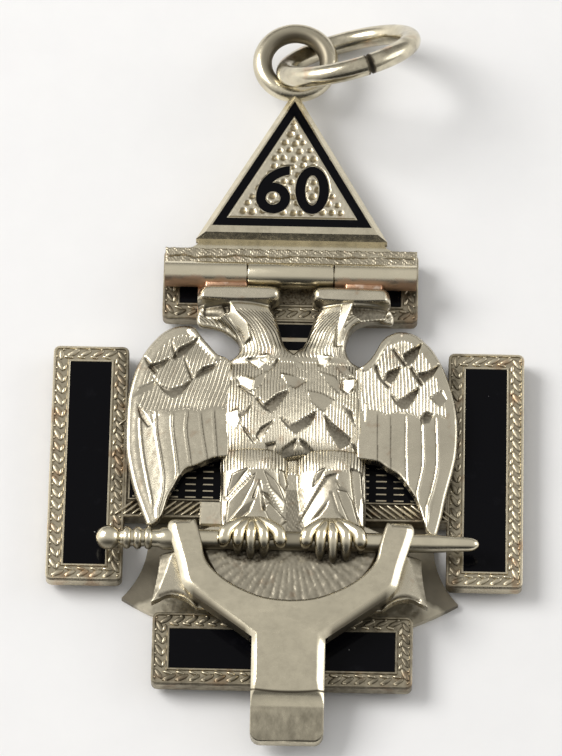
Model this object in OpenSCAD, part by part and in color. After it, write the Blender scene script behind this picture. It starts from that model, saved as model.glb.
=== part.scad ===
// A folding watch fob: a cross with barred ends, a hinged leaf cast as a two-headed eagle
// with a sword in its claws, a triangular hanger with an eye, and a split jump ring.
// It lies on its back. X runs to the right, Y towards the ring, Z up out of the face.

/* [Cross] */
// Half of the cross's width over its bars
cross_half = 17; // [16.8:0.1:17.2]
// Width of each bar
bar_w = 5.46; // [5.3:0.02:5.6]
// Length of the left and right bars
side_bar_len = 18.3; // [18:0.1:18.6]
// Length of the top and bottom bars
end_bar_len = 18.5; // [18.2:0.1:18.8]
// Width of the arms that join the bars
arm_w = 8.4; // [8.2:0.1:8.5]
// Thickness of the cross
cross_t = 1.2; // [1.1:0.05:1.3]
// Radius of the bars' corners
bar_corner = 0.45; // [0.2:0.05:0.6]
// Width of the milled border round each bar's enamel
border_w = 1.23; // [1.15:0.01:1.3]
// Width of the border's sunk channel
channel_w = 0.72; // [0.6:0.02:0.8]
// Depth of the border's sunk channel
channel_d = 0.14; // [0.08:0.02:0.2]
// Depth of the recesses for enamel
enamel_d = 0.4; // [0.3:0.05:0.5]
// Width of the roped strip along each side of an arm
rope_w = 1.45; // [1.3:0.05:1.5]

/* [Back plate] */
// Thickness of the back plate
back_t = 0.55; // [0.45:0.05:0.6]
// How far the back plate and the leaf sit right of the cross's centre line
leaf_shift = 0.45; // [0.3:0.05:0.5]
// Half width of the back plate at its pointed corners
back_half = 12; // [11.8:0.1:12.2]
// Half width of the back plate above the flare
back_waist = 10.2; // [10:0.1:10.4]
// Half width of the back plate at its narrow end
back_narrow = 7; // [6.6:0.1:7.2]

/* [Hinge] */
// Distance of the hinge pin from the cross's centre
hinge_y = 14.6; // [14.55:0.05:14.65]
// Height of the hinge pin above the surface that the fob lies on
hinge_z = 2.8; // [2.78:0.01:2.85]
// Outside radius of the knuckles
knuckle_r = 0.94; // [0.9:0.01:0.95]
// Radius of the hinge pin
pin_r = 0.4; // [0.35:0.01:0.45]
// Half the length of the whole barrel
barrel_half = 9.12; // [9:0.02:9.2]
// Half the length of the middle knuckle
middle_half = 3.1; // [3:0.05:3.2]

/* [Hanger] */
// Where the triangle's base is
tri_base = 17.5; // [17.45:0.05:17.6]
// Where the triangle's point is
tri_top = 29.7; // [29.5:0.1:29.8]
// Half the length of the triangle's base
tri_half = 6.95; // [6.8:0.05:7.1]
// Thickness of the triangle
tri_t = 1.2; // [1.1:0.05:1.25]
// Width of the bevel round the triangle
tri_bevel = 0.4; // [0.35:0.05:0.5]
// Distance of the eye's centre from the cross's centre
eye_y = 32.05; // [32:0.05:32.1]
// Outside diameter of the eye
eye_od = 6.3; // [6.2:0.05:6.4]
// Thickness of the eye's wire
eye_wire = 1.4; // [1.3:0.05:1.4]
// Outside diameter of the jump ring
ring_od = 10.9; // [10.8:0.05:11]
// Thickness of the jump ring's wire
ring_wire = 1.5; // [1.4:0.05:1.5]
// How steeply the jump ring leans, from lying flat
ring_lean = 51.5; // [51:0.5:53]

/* [Leaf] */
// Height of the leaf's underside
leaf_z = 2.35; // [2.3:0.01:2.4]
// Height of the breast's middle
breast_z = 4.1; // [4:0.05:4.2]
// Distance of the sword below the cross's centre
sword_y = 6.5; // [6.45:0.05:6.55]
// Height of the sword's middle
sword_z = 3.32; // [3.3:0.01:3.35]
// Radius of the sword
sword_r = 0.5; // [0.45:0.01:0.52]
// Height of the yoke's polished face
yoke_z = 4.35; // [4.3:0.01:4.4]
// Width of the yoke's stem
stem_w = 5.2; // [5:0.1:5.4]
// How far the thumb tab reaches below the cross's centre
tab_end = 21.3; // [21.2:0.1:21.6]

/* [Hidden] */

// fits
gap = 0.03;
eps = 0.01;
running_clearance = 0.02;
$fn = 64;

// levels
cross_z = back_t + 0.05;
face_z = cross_z + cross_t;
enamel_t = enamel_d - gap;
tri_z = face_z + 0.08;
tri_face = tri_z + tri_t;

// spacing of the cross
bar_mid = cross_half - bar_w / 2;
bar_inner = cross_half - bar_w;
panel_w = bar_w - 2 * border_w;
arm_panel_w = arm_w - 2 * rope_w;
panel_rim = 0.35;
arm_panel_out = bar_inner - panel_rim;
arm_panel_in = arm_w / 2 + panel_rim;

// A smooth run of points through a short list, with n steps between each two
function blend(p, i, t) =
  let(
    a = p[max(i - 1, 0)],
    b = p[i],
    c = p[i + 1],
    d = p[min(i + 2, len(p) - 1)]
  )
  0.5 * ((2 * b) + (c - a) * t + (2 * a - 5 * b + 4 * c - d) * t * t
    + (3 * b - a - 3 * c + d) * t * t * t);

function smooth(p, n) = [
  for (i = [0:len(p) - 2])
    for (k = [0:n - 1]) blend(p, i, k / n),
  p[len(p) - 1]];

function mirror_x(p) = [for (i = [len(p) - 1:-1:0]) [-p[i][0], p[i][1]]];

function unit(v) = v / max(norm(v), 0.000001);

// An outline moved inwards by d, corner by corner
function inset(p, d) =
  let(n = len(p))
  [for (i = [0:n - 1])
    let(
      a = unit(p[i] - p[(i + n - 1) % n]),
      b = unit(p[(i + 1) % n] - p[i]),
      m = unit([-(a[1] + b[1]), a[0] + b[0]]),
      k = max(0.5, m * [-a[1], a[0]])
    )
    p[i] + m * d / k];

// A solid skinned over rings of equal length, closed at both ends
module skin(rings) {
  n = len(rings[0]);
  last = (len(rings) - 1) * n;
  sides = [
    for (i = [0:len(rings) - 2])
      for (j = [0:n - 1])
        for (f = [
          [i * n + j, i * n + (j + 1) % n, (i + 1) * n + (j + 1) % n],
          [i * n + j, (i + 1) * n + (j + 1) % n, (i + 1) * n + j]])
          f];
  first_cap = [for (j = [n - 1:-1:0]) j];
  last_cap = [for (j = [0:n - 1]) last + j];
  polyhedron([for (r = rings) for (p = r) p], concat([first_cap], sides, [last_cap]));
}

// A plate with a bevelled upper edge
module bevel_plate(outline, z0, z1, bevel) {
  top = inset(outline, bevel);
  skin([
    [for (p = top) [p[0], p[1], z1]],
    [for (p = outline) [p[0], p[1], z1 - bevel]],
    [for (p = outline) [p[0], p[1], z0]]]);
}

// A plate with rounded corners, lying on z = 0
module rounded_plate(x, y, h, r) {
  linear_extrude(h)
    union() {
      square([x - 2 * r, y], center = true);
      square([x, y - 2 * r], center = true);
      for (sx = [-1, 1])
        for (sy = [-1, 1])
          translate([sx * (x / 2 - r), sy * (y / 2 - r)]) circle(r, $fn = 32);
    }
}

// A rod along X
module rod(x0, x1, y, z, r) {
  translate([x0, y, z]) rotate([0, 90, 0]) cylinder(h = x1 - x0, r = r);
}

// Back plate

// Waist height, and the radius of the flare that ends in the pointed corner
back_flare_y = -5.5;
back_corner_y = -10;
back_low_y = -13.4;
back_high_y = 7.6;
flare_dy = back_flare_y - back_corner_y;
flare_dx = back_half - back_waist;
flare_r = (flare_dy * flare_dy + flare_dx * flare_dx) / (2 * flare_dx);
low_dy = back_corner_y - back_low_y;
low_r = (back_half * back_half + low_dy * low_dy) / (2 * low_dy);

module keystone_plate() {
  color("silver")
    translate([leaf_shift, 0, 0])
      linear_extrude(back_t)
        difference() {
          union() {
            polygon([
              [-back_narrow, back_high_y], [-back_waist, back_flare_y],
              [-back_half, back_corner_y], [back_half, back_corner_y],
              [back_waist, back_flare_y], [back_narrow, back_high_y]]);
            intersection() {
              translate([0, back_low_y + low_r]) circle(low_r, $fn = 128);
              translate([-back_half, back_low_y]) square([2 * back_half, low_dy + eps]);
            }
          }
          for (s = [-1, 1])
            translate([s * (back_waist + flare_r), back_flare_y]) circle(flare_r, $fn = 96);
        }
}

// Cross

module bars(len_side, len_end, w, h) {
  for (s = [-1, 1]) {
    translate([s * bar_mid, 0, 0]) rounded_plate(w, len_side, h, bar_corner);
    translate([0, s * bar_mid, 0]) rounded_plate(len_end, w, h, bar_corner);
  }
}

// The sunk channel round a bar of length l, lying along X
module border_channel(l) {
  outer = (border_w - channel_w) / 2;
  difference() {
    rounded_plate(l - 2 * outer, bar_w - 2 * outer, channel_d + eps, bar_corner);
    translate([0, 0, -eps])
      rounded_plate(l - 2 * (outer + channel_w), bar_w - 2 * (outer + channel_w),
        channel_d + 3 * eps, 0.2);
  }
}

module bar_panel(l, h, grow) {
  panel_l = l - 2 * border_w + 2 * grow;
  translate([-panel_l / 2, -panel_w / 2 - grow, 0]) cube([panel_l, panel_w + 2 * grow, h]);
}

// The part of the top bar's enamel on one side of the middle knuckle
module top_panel(s, h, grow) {
  x0 = middle_half + panel_rim - grow;
  x1 = end_bar_len / 2 - border_w + grow;
  translate([s > 0 ? x0 : -x1, bar_mid - panel_w / 2 - grow, 0])
    cube([x1 - x0, panel_w + 2 * grow, h]);
}

// The enamel field of the arm that points along +X
module arm_panel(h, grow) {
  translate([arm_panel_in - grow, -arm_panel_w / 2 - grow, 0])
    cube([arm_panel_out - arm_panel_in + 2 * grow, arm_panel_w + 2 * grow, h]);
}

// The web that carries the middle knuckle, and how deep it is rooted in the bar
web_half = 0.6;
web_root = 0.2;

module cross_frame() {
  color("silver")
    difference() {
      union() {
        translate([0, 0, cross_z]) {
          bars(side_bar_len, end_bar_len, bar_w, cross_t);
          translate([-bar_inner - eps, -arm_w / 2, 0]) cube([2 * bar_inner + 2 * eps, arm_w, cross_t]);
          translate([-arm_w / 2, -bar_inner - eps, 0]) cube([arm_w, 2 * bar_inner + 2 * eps, cross_t]);
        }
        rod(-middle_half, middle_half, hinge_y, hinge_z, knuckle_r);
        translate([-middle_half, hinge_y - web_half, face_z - web_root])
          cube([2 * middle_half, 2 * web_half, hinge_z - pin_r - face_z]);
      }
      translate([0, 0, face_z - enamel_d]) {
        translate([0, -bar_mid, 0]) bar_panel(end_bar_len, enamel_d + eps, 0);
        for (s = [-1, 1]) {
          translate([s * bar_mid, 0, 0]) rotate(90) bar_panel(side_bar_len, enamel_d + eps, 0);
          top_panel(s, enamel_d + eps, 0);
        }
        for (a = [0:90:270]) rotate(a) arm_panel(enamel_d + eps, 0);
      }
      translate([0, 0, face_z - channel_d]) {
        translate([0, -bar_mid, 0]) border_channel(end_bar_len);
        for (s = [-1, 1]) translate([s * bar_mid, 0, 0]) rotate(90) border_channel(side_bar_len);
      }
      rod(-middle_half - 1, middle_half + 1, hinge_y, hinge_z, pin_r + running_clearance);
    }
}

module enamel(x = 0, y = 0, a = 0) {
  color([0.06, 0.06, 0.07])
    translate([x, y, face_z - enamel_d + gap / 2]) rotate(a) children();
}

module enamel_left_bar() {
  enamel(-bar_mid, 0, 90) bar_panel(side_bar_len, enamel_t, -gap);
}

module enamel_right_bar() {
  enamel(bar_mid, 0, 90) bar_panel(side_bar_len, enamel_t, -gap);
}

module enamel_bottom_bar() {
  enamel(0, -bar_mid) bar_panel(end_bar_len, enamel_t, -gap);
}

module enamel_top_bar_left() {
  enamel() top_panel(-1, enamel_t, -gap);
}

module enamel_top_bar_right() {
  enamel() top_panel(1, enamel_t, -gap);
}

module enamel_right_arm() {
  enamel() arm_panel(enamel_t, -gap);
}

module enamel_upper_arm() {
  enamel(0, 0, 90) arm_panel(enamel_t, -gap);
}

module enamel_left_arm() {
  enamel(0, 0, 180) arm_panel(enamel_t, -gap);
}

module enamel_lower_arm() {
  enamel(0, 0, 270) arm_panel(enamel_t, -gap);
}

// Hinge

module hinge_pin() {
  color("gray") rod(-barrel_half + 0.05, barrel_half - 0.05, hinge_y, hinge_z, pin_r);
}

// An outer knuckle with the strap that carries the eagle's head
strap_t = 0.22;
strap_end = 11.6;
strap_half = 6.7;

module outer_knuckle(s) {
  x0 = middle_half + 0.1;
  color("tan")
    difference() {
      union() {
        rod(s > 0 ? x0 : -barrel_half, s > 0 ? barrel_half : -x0, hinge_y, hinge_z, knuckle_r);
        translate([s > 0 ? x0 : -strap_half, strap_end, leaf_z - gap - strap_t])
          cube([strap_half - x0, hinge_y - strap_end - web_half, strap_t]);
      }
      rod(-barrel_half - 1, barrel_half + 1, hinge_y, hinge_z, pin_r + running_clearance);
    }
}

module knuckle_left() {
  outer_knuckle(-1);
}

module knuckle_right() {
  outer_knuckle(1);
}

// Hanger

// The plate's triangle with its sides moved inwards by side and its base by foot
tri_slope = (tri_top - tri_base) / tri_half;
tri_k = sqrt(1 + tri_slope * tri_slope);

function triangle(side, foot) =
  let (half = (tri_top - tri_base - side * tri_k - foot) / tri_slope)
  [[-half, tri_base + foot], [half, tri_base + foot], [0, tri_top - side * tri_k]];

band_side = 0.52;
band_foot = 0.94;
band_w = 0.62;
tri_enamel_d = 0.3;
foot_half = 9.1;
foot_y = cross_half - 0.5;
foot_t = 0.32;
shoulder_r = 1.1;
eye_r = (eye_od - eye_wire) / 2;
eye_z = 2.5;

module hanger() {
  color("silver") {
    difference() {
      bevel_plate(triangle(0, 0), tri_z, tri_face, tri_bevel);
      translate([0, 0, tri_face - tri_enamel_d])
        linear_extrude(tri_enamel_d + eps)
          difference() {
            polygon(triangle(band_side, band_foot));
            polygon(triangle(band_side + band_w, band_foot + band_w));
          }
      translate([0, 0, tri_face - tri_enamel_d])
        linear_extrude(tri_enamel_d + eps) {
          numeral_left_outline(gap);
          numeral_right_outline(gap);
        }
    }
    translate([0, 0, face_z + gap])
      linear_extrude(foot_t)
        difference() {
          union() {
            translate([-foot_half, foot_y]) square([2 * foot_half, cross_half - foot_y]);
            translate([-tri_half - shoulder_r + 0.6, foot_y])
              square([2 * (tri_half + shoulder_r - 0.6), tri_base - foot_y + 0.8]);
          }
          for (s = [-1, 1])
            translate([s * (tri_half + shoulder_r - 0.4), cross_half + shoulder_r])
              circle(shoulder_r, $fn = 48);
        }
    translate([0, eye_y, eye_z])
      rotate_extrude($fn = 96) translate([eye_r, 0]) circle(eye_wire / 2, $fn = 40);
  }
}

module enamel_triangle() {
  color([0.06, 0.06, 0.07])
    translate([0, 0, tri_face - tri_enamel_d + gap / 2])
      linear_extrude(tri_enamel_d - gap)
        difference() {
          polygon(triangle(band_side + gap, band_foot + gap));
          polygon(triangle(band_side + band_w - gap, band_foot + band_w - gap));
        }
}

// Plain numerals

numeral_y = 21.4;
numeral_rise = 1.9;
bowl_r = 1.22;
stroke = 0.66;

function ellipse(cx, cy, rx, ry) = [
  for (a = [0:12:348]) [cx + rx * cos(a), cy + ry * sin(a)]];

// A six: a round bowl with a curved stem that rises from its left side
module numeral_left_outline(grow) {
  cx = -1.42;
  cy = numeral_y - numeral_rise + bowl_r;
  stem_r = 2.6;
  stem_cx = cx - bowl_r + stem_r;
  difference() {
    union() {
      translate([cx, cy]) circle(bowl_r + grow, $fn = 48);
      intersection() {
        difference() {
          translate([stem_cx, cy]) circle(stem_r + grow, $fn = 72);
          translate([stem_cx, cy]) circle(stem_r - stroke - grow, $fn = 72);
        }
        translate([stem_cx - stem_r - 1, cy]) square([stem_r + 0.8, 2 * numeral_rise - bowl_r + grow]);
      }
    }
    translate([cx, cy]) circle(bowl_r - stroke - grow, $fn = 40);
  }
}

module numeral_right_outline(grow) {
  cx = 1.42;
  rx = 1.2;
  difference() {
    polygon(ellipse(cx, numeral_y, rx + grow, numeral_rise + grow));
    polygon(ellipse(cx, numeral_y, rx - stroke - grow, numeral_rise - stroke - grow));
  }
}

module numeral_left() {
  color([0.06, 0.06, 0.07])
    translate([0, 0, tri_face - tri_enamel_d + gap / 2])
      linear_extrude(tri_enamel_d - gap) numeral_left_outline(0);
}

module numeral_right() {
  color([0.06, 0.06, 0.07])
    translate([0, 0, tri_face - tri_enamel_d + gap / 2])
      linear_extrude(tri_enamel_d - gap) numeral_right_outline(0);
}

// Jump ring: it hangs through the eye, its far side on the ground
ring_r = (ring_od - ring_wire) / 2;
ring_x = 3.86;
ring_y = 31.76;
ring_turn = 20;
ring_rest = 0.02;
ring_mid_z = ring_wire / 2 + ring_rest + ring_r * sin(ring_lean);
ring_gap_deg = 3;
ring_gap_at = -82;

module jump_ring() {
  color("silver")
    translate([ring_x, ring_y, ring_mid_z])
      rotate([0, 0, ring_turn])
        rotate([-ring_lean, 0, 0])
          rotate([0, 0, ring_gap_at])
            rotate_extrude(angle = 360 - ring_gap_deg, $fn = 96)
              translate([ring_r, 0]) circle(ring_wire / 2, $fn = 40);
}

// Eagle

// Wing sections from the shoulder down to the tip
//   y        outer x  inner x  relief
wing_rows = [
  [10.35,   8.5,     7.7,     0.15],
  [9.9,     9.35,    7.0,     0.35],
  [9,       10.3,    6.35,    0.5],
  [8.1,     10.9,    5.6,     0.55],
  [7.2,     11.3,    4.6,     0.6],
  [6.2,     11.6,    4.5,     0.55],
  [5.2,     11.8,    4.5,     0.6],
  [4.2,     11.93,   4.5,     0.55],
  [3.2,     12,      4.5,     0.6],
  [2,       12,      4.5,     0.5],
  [1,       11.95,   4.6,     0.45],
  [0.2,     11.85,   4.8,     0.4],
  [-0.3,    11.75,   5.9,     0.4],
  [-0.9,    11.6,    7.3,     0.38],
  [-1.8,    11.35,   8.15,    0.35],
  [-3,      11,      8.85,    0.32],
  [-4.4,    10.6,    9.35,    0.28],
  [-5.4,    10.2,    9.8,     0.15]];
wing_plate_t = 0.4;
wing_steps = 2;
feathers = 7;
// Where the samples lie across a feather, and how high each stands
//   part     height
feather_cuts = [
  [0.04,    0],
  [0.3,     1],
  [0.9,     0.35]];

function wing_ring(row, s) =
  let(
    y = row[0],
    outer = row[1],
    inner = row[2],
    relief = row[3],
    z = leaf_z + wing_plate_t
  )
  concat(
    [[s * outer, y, leaf_z], [s * outer, y, z]],
    [for (f = [0:feathers - 1])
      for (cut = feather_cuts)
        let(t = (f + cut[0]) / feathers)
        [s * (outer + (inner - outer) * t), y, z + relief * cut[1]]],
    [[s * inner, y, z], [s * inner, y, leaf_z]]);

module wing(s) {
  rows = smooth(wing_rows, wing_steps);
  rings = [for (r = rows) wing_ring(r, s)];
  skin(s > 0 ? [for (r = rings) [for (i = [len(r) - 1:-1:0]) r[i]]] : rings);
}

// Body sections from the base of the necks down to the belly
//   y        half w   share of the breast's height
body_rows = [
  [8.9,     0.5,     0.32],
  [8.2,     2.8,     0.48],
  [7.2,     5.1,     0.66],
  [6,       5.5,     0.83],
  [4.6,     5.5,     0.95],
  [3,       5.4,     1],
  [1.6,     5.2,     0.94],
  [0.6,     4.9,     0.77],
  [0.1,     4.7,     0.5],
  [-0.4,    4.4,     0.1]];
body_steps = 2;
body_cuts = 16;
scale_h = 0.14;

// A domed section with alternate high and low points, which stand for the scales
function dome_ring(y, cx, half, height, cuts, bumps) = concat(
  [[cx - half, y, leaf_z + 0.01]],
  [for (i = [0:cuts])
    let(
      t = -1 + 2 * i / cuts,
      rise = height * (0.3 + 0.7 * pow(1 - t * t, 0.6)),
      bump = (i % 2 == 0) ? bumps : 0
    )
    [cx + half * t, y, leaf_z + rise + bump]],
  [[cx + half, y, leaf_z + 0.01]]);

module body() {
  rows = smooth(body_rows, body_steps);
  skin([
    for (i = [0:len(rows) - 1])
      dome_ring(rows[i][0], 0, rows[i][1], rows[i][2] * (breast_z - leaf_z), body_cuts,
        (i % 2 == 0) ? scale_h : 0)]);
}

// Thigh sections, measured outwards from the leaf's centre line
//   y        mid x    half w   height
thigh_rows = [
  [0.7,     2.7,     2.3,     1.3],
  [-0.6,    2.7,     2.35,    1.5],
  [-2,      2.7,     2.35,    1.4],
  [-3.4,    2.7,     2.3,     1.2],
  [-4.6,    2.75,    2,       0.95],
  [-5.4,    2.75,    1.5,     0.75]];
thigh_steps = 2;
thigh_cuts = 8;

module thigh(s) {
  rows = smooth(thigh_rows, thigh_steps);
  skin([
    for (i = [0:len(rows) - 1])
      dome_ring(rows[i][0], s * rows[i][1], rows[i][2], rows[i][3], thigh_cuts, scale_h)]);
}

// Neck and head sections from the crown down to the body
//   y        inner x  outer x  height
head_rows = [
  [12.5,    1.8,     6.5,     1.15],
  [12.1,    1.75,    6.75,    1.35],
  [11.5,    1.55,    6.5,     1.4],
  [10.8,    1.35,    5.3,     1.35],
  [10,      1.1,     4.3,     1.3],
  [9.2,     0.85,    4,       1.2],
  [8.4,     0.35,    4.1,     1.1],
  [7.6,     0.2,     4.6,     1]];
head_steps = 2;
head_cuts = 10;

module head(s) {
  rows = smooth(head_rows, head_steps);
  skin([
    for (i = [0:len(rows) - 1])
      let(r = rows[i])
      dome_ring(r[0], s * (r[1] + r[2]) / 2, (r[2] - r[1]) / 2, r[3], head_cuts, 0)]);
}

crown_y0 = 12.3;
crown_y1 = 13.5;
crown_x0 = 1.3;
crown_x1 = 6.8;
crown_h = 1.45;

module crown(s) {
  translate([s * (crown_x0 + crown_x1) / 2, (crown_y0 + crown_y1) / 2, leaf_z])
    rounded_plate(crown_x1 - crown_x0, crown_y1 - crown_y0, crown_h, 0.4);
}

// A beak hooks down and outwards from each head
beak_tip = [7.05, 10.6];

module beak(s) {
  outline = smooth([[6, 12.2], [6.9, 12.1], [7.15, 11.4], beak_tip, [6.6, 10.9], [6.1, 10.9]], 3);
  points = s > 0 ? outline : mirror_x(outline);
  translate([0, 0, leaf_z + 0.2]) linear_extrude(1) polygon(points);
}

// A round tapering limb through a short list of points
function limb_ring(p, dir, r, sides) =
  let(
    u = unit(cross(dir, [1, 0, 0.2])),
    v = unit(cross(dir, u))
  )
  [for (k = [0:sides - 1])
    let(a = 360 * k / sides) p + r * (cos(a) * u + sin(a) * v)];

module limb(path, r0, r1) {
  n = len(path) - 1;
  rings = [
    for (i = [0:n])
      limb_ring(path[i], path[min(i + 1, n)] - path[max(i - 1, 0)], r0 + (r1 - r0) * i / n, 6)];
  skin([for (r = rings) [for (k = [len(r) - 1:-1:0]) r[k]]]);
}

// The claws of one foot: where each crosses the sword, and where it ends
//   over x   end x    end y
claws = [
  [4.35,    4.6,     -7.45],
  [3.35,    3.35,    -7.75],
  [2.4,     2.3,     -7.85],
  [1.45,    1.15,    -7.45]];
foot_x = 2.75;
claw_r = 0.34;

module foot(s) {
  for (c = claws)
    limb([
      [s * (foot_x + (c[0] - foot_x) * 0.3), -4.7, leaf_z + 0.9],
      [s * (foot_x + (c[0] - foot_x) * 0.7), -5.4, sword_z + 0.7],
      [s * c[0], -sword_y + 0.35, sword_z + sword_r + claw_r + 0.12],
      [s * (c[0] + c[1]) / 2, -sword_y - 0.5, sword_z + sword_r + claw_r],
      [s * c[1], c[2], sword_z - 0.05]],
      claw_r + 0.06, claw_r - 0.14);
}

// The tail: a wide plate with pointed corners, and a fan raised inside the yoke's arc
tail_t = 0.4;
fan_r = 5.2;
fan_y = -6.1;
fan_h = 0.25;
fan_ribs = 14;
// The fan stops short of the sword
fan_top_y = -sword_y - sword_r - 0.15;

module tail() {
  half = [
    [9.3, -7.5], [9.45, -9], [9.85, -11.2], [9.3, -11], [8.2, -10.6], [6.6, -11.6]];
  translate([0, 0, leaf_z])
    linear_extrude(tail_t)
      polygon(concat(
        [[-5.2, 0.5], [5.2, 0.5], [5.2, -5], [6.6, -5.6], [6.6, -7.5]], half,
        mirror_x(half), [[-6.6, -7.5], [-6.6, -5.6], [-5.2, -5]]));
  translate([0, fan_y, leaf_z + tail_t - eps])
    difference() {
      union() {
        cylinder(h = fan_h, r = fan_r, $fn = 72);
        for (i = [1:fan_ribs - 1])
          rotate(180 + 180 * i / fan_ribs)
            translate([2.4, -0.12, 0]) cube([fan_r - 2.5, 0.24, fan_h + 0.12]);
      }
      translate([-fan_r - 1, fan_top_y - fan_y, -1]) cube([2 * fan_r + 2, 2 * fan_r, 2]);
    }
}

module eagle() {
  color("tan")
    translate([leaf_shift, 0, 0])
      union() {
        for (s = [-1, 1]) {
          wing(s);
          head(s);
          crown(s);
          beak(s);
          thigh(s);
          foot(s);
        }
        body();
        tail();
      }
}

// Sword

pommel_r = 0.8;
pommel_x = -13.1;
tip_x = 13.4;
grip_end = -9.2;

module sword() {
  color("silver")
    translate([leaf_shift, 0, 0]) {
      rod(pommel_x, grip_end, -sword_y, sword_z, sword_r - 0.06);
      for (x = [pommel_x + 0.9:0.62:grip_end]) rod(x, x + 0.34, -sword_y, sword_z, sword_r);
      rod(grip_end, tip_x - sword_r, -sword_y, sword_z, sword_r);
      translate([tip_x - sword_r, -sword_y, sword_z]) sphere(sword_r);
      translate([pommel_x, -sword_y, sword_z]) sphere(pommel_r);
    }
}

// Catch yoke

yoke_bevel = 0.3;
yoke_under = leaf_z + tail_t + gap;
// Where the stem starts to slope down, and where and how low it bends to the tab
stem_top_y = -14.2;
stem_break_y = -18;
stem_low_z = 3.45;
stem_t = 0.95;
tab_z = 1.9;

// Half of the yoke's outline, from the stem round the shoulder and prong to the arc
yoke_half = concat(
  [[stem_w / 2, stem_break_y], [stem_w / 2, stem_top_y], [7, -10.95]],
  smooth([[7.6, -10.2], [8, -8.6], [8.5, -6.9], [8.75, -5.9], [8.2, -5.25], [7.4, -5.2],
    [6.75, -5.5]], 2),
  smooth([[6.35, -6.9], [6.05, -8.3], [5.2, -9.4], [4, -10.3], [2.4, -11.05], [1.2, -11.33],
    [0, -11.42]], 2));

module catch_yoke() {
  outline = concat(yoke_half, mirror_x([for (i = [0:len(yoke_half) - 2]) yoke_half[i]]));
  side = [
    [stem_break_y, stem_low_z], [stem_top_y, yoke_z], [-4, yoke_z], [-4, yoke_under],
    [-11, yoke_under], [-13.4, yoke_z - 1.35], [stem_break_y, stem_low_z - stem_t]];
  color("silver")
    translate([leaf_shift, 0, 0]) {
      difference() {
        intersection() {
          bevel_plate(outline, face_z, yoke_z + yoke_bevel, 2 * yoke_bevel);
          translate([-10, 0, 0])
            rotate([90, 0, 90]) linear_extrude(20) polygon(side);
        }
        rod(-10, 10, -sword_y, sword_z, sword_r + 0.05);
        translate([-10, -sword_y - sword_r - 0.05, 0])
          cube([20, 4, sword_z]);
      }
      translate([-stem_w / 2, 0, 0])
        rotate([90, 0, 90])
          linear_extrude(stem_w)
            polygon([
              [stem_break_y + 0.1, stem_low_z], [stem_break_y - 0.3, stem_low_z - 0.3],
              [-tab_end + 0.3, tab_z], [-tab_end, tab_z - 0.35], [-tab_end, tab_z - 0.8],
              [-19.6, tab_z - 0.3], [stem_break_y + 0.1, stem_low_z - stem_t]]);
    }
}

keystone_plate();
cross_frame();
enamel_left_bar();
enamel_right_bar();
enamel_bottom_bar();
enamel_top_bar_left();
enamel_top_bar_right();
enamel_left_arm();
enamel_right_arm();
enamel_upper_arm();
enamel_lower_arm();
hanger();
enamel_triangle();
numeral_left();
numeral_right();
jump_ring();
hinge_pin();
knuckle_left();
knuckle_right();
eagle();
sword();
catch_yoke();
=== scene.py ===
"""A folding watch fob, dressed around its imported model.

The fob's own sizes, places and outlines are in millimetres, and MM turns them into metres. Settings,
lights and the camera are in metres.
"""
import math

import bmesh
import bpy
import numpy as np
from bpy.props import FloatProperty, FloatVectorProperty, IntProperty, PointerProperty
from mathutils import Matrix, Vector
from mathutils.bvhtree import BVHTree


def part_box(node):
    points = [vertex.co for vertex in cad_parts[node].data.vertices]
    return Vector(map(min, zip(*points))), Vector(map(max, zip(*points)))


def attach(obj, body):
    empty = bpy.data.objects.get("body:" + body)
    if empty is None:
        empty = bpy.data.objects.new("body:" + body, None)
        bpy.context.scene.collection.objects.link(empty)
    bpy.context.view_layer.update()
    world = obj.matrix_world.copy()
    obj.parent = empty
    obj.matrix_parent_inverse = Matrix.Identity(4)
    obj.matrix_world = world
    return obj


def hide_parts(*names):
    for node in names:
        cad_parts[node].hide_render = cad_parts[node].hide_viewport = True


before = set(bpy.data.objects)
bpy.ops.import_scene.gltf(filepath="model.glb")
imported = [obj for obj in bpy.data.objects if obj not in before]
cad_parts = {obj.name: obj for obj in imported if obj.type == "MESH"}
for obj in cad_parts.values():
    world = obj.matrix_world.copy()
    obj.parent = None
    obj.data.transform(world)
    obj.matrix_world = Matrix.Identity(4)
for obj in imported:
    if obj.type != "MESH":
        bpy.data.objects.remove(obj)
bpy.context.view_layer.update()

bl_info = {
    "name": "Watch fob",
    "version": (1, 0, 0),
    "blender": (4, 5, 0),
    "location": "3D View > Sidebar > Watch fob",
    "description": "Builds the looks of a hinged watch fob around its packed model",
    "category": "Add Mesh",
}

MM = 0.001

# Levels and places that come from the frame, in millimetres
CROSS_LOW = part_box("cross_frame")[0].z / MM
# The enamel lies a little under the metal round it
ENAMEL_SUNK = 0.015
ENAMEL_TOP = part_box("enamel_left_bar")[1].z / MM
FACE_Z = ENAMEL_TOP + ENAMEL_SUNK
TRI_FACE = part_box("enamel_triangle")[1].z / MM + ENAMEL_SUNK
CROSS_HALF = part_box("cross_frame")[1].x / MM
LEAF_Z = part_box("eagle")[0].z / MM
LEAF_X = (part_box("keystone_plate")[0].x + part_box("keystone_plate")[1].x) / 2 / MM
PIN_LOW, PIN_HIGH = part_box("hinge_pin")
HINGE_Y = (PIN_LOW.y + PIN_HIGH.y) / 2 / MM
HINGE_Z = (PIN_LOW.z + PIN_HIGH.z) / 2 / MM
KNUCKLE_LOW, KNUCKLE_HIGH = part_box("knuckle_right")
KNUCKLE_R = KNUCKLE_HIGH.y / MM - HINGE_Y
BARREL_HALF = KNUCKLE_HIGH.x / MM
YOKE_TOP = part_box("catch_yoke")[1].z / MM
TAB_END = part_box("catch_yoke")[0].y / MM
SWORD_LOW, SWORD_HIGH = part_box("sword")
SWORD_Z = (SWORD_LOW.z + SWORD_HIGH.z) / 2 / MM
SWORD_Y = (SWORD_LOW.y + SWORD_HIGH.y) / 2 / MM
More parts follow.
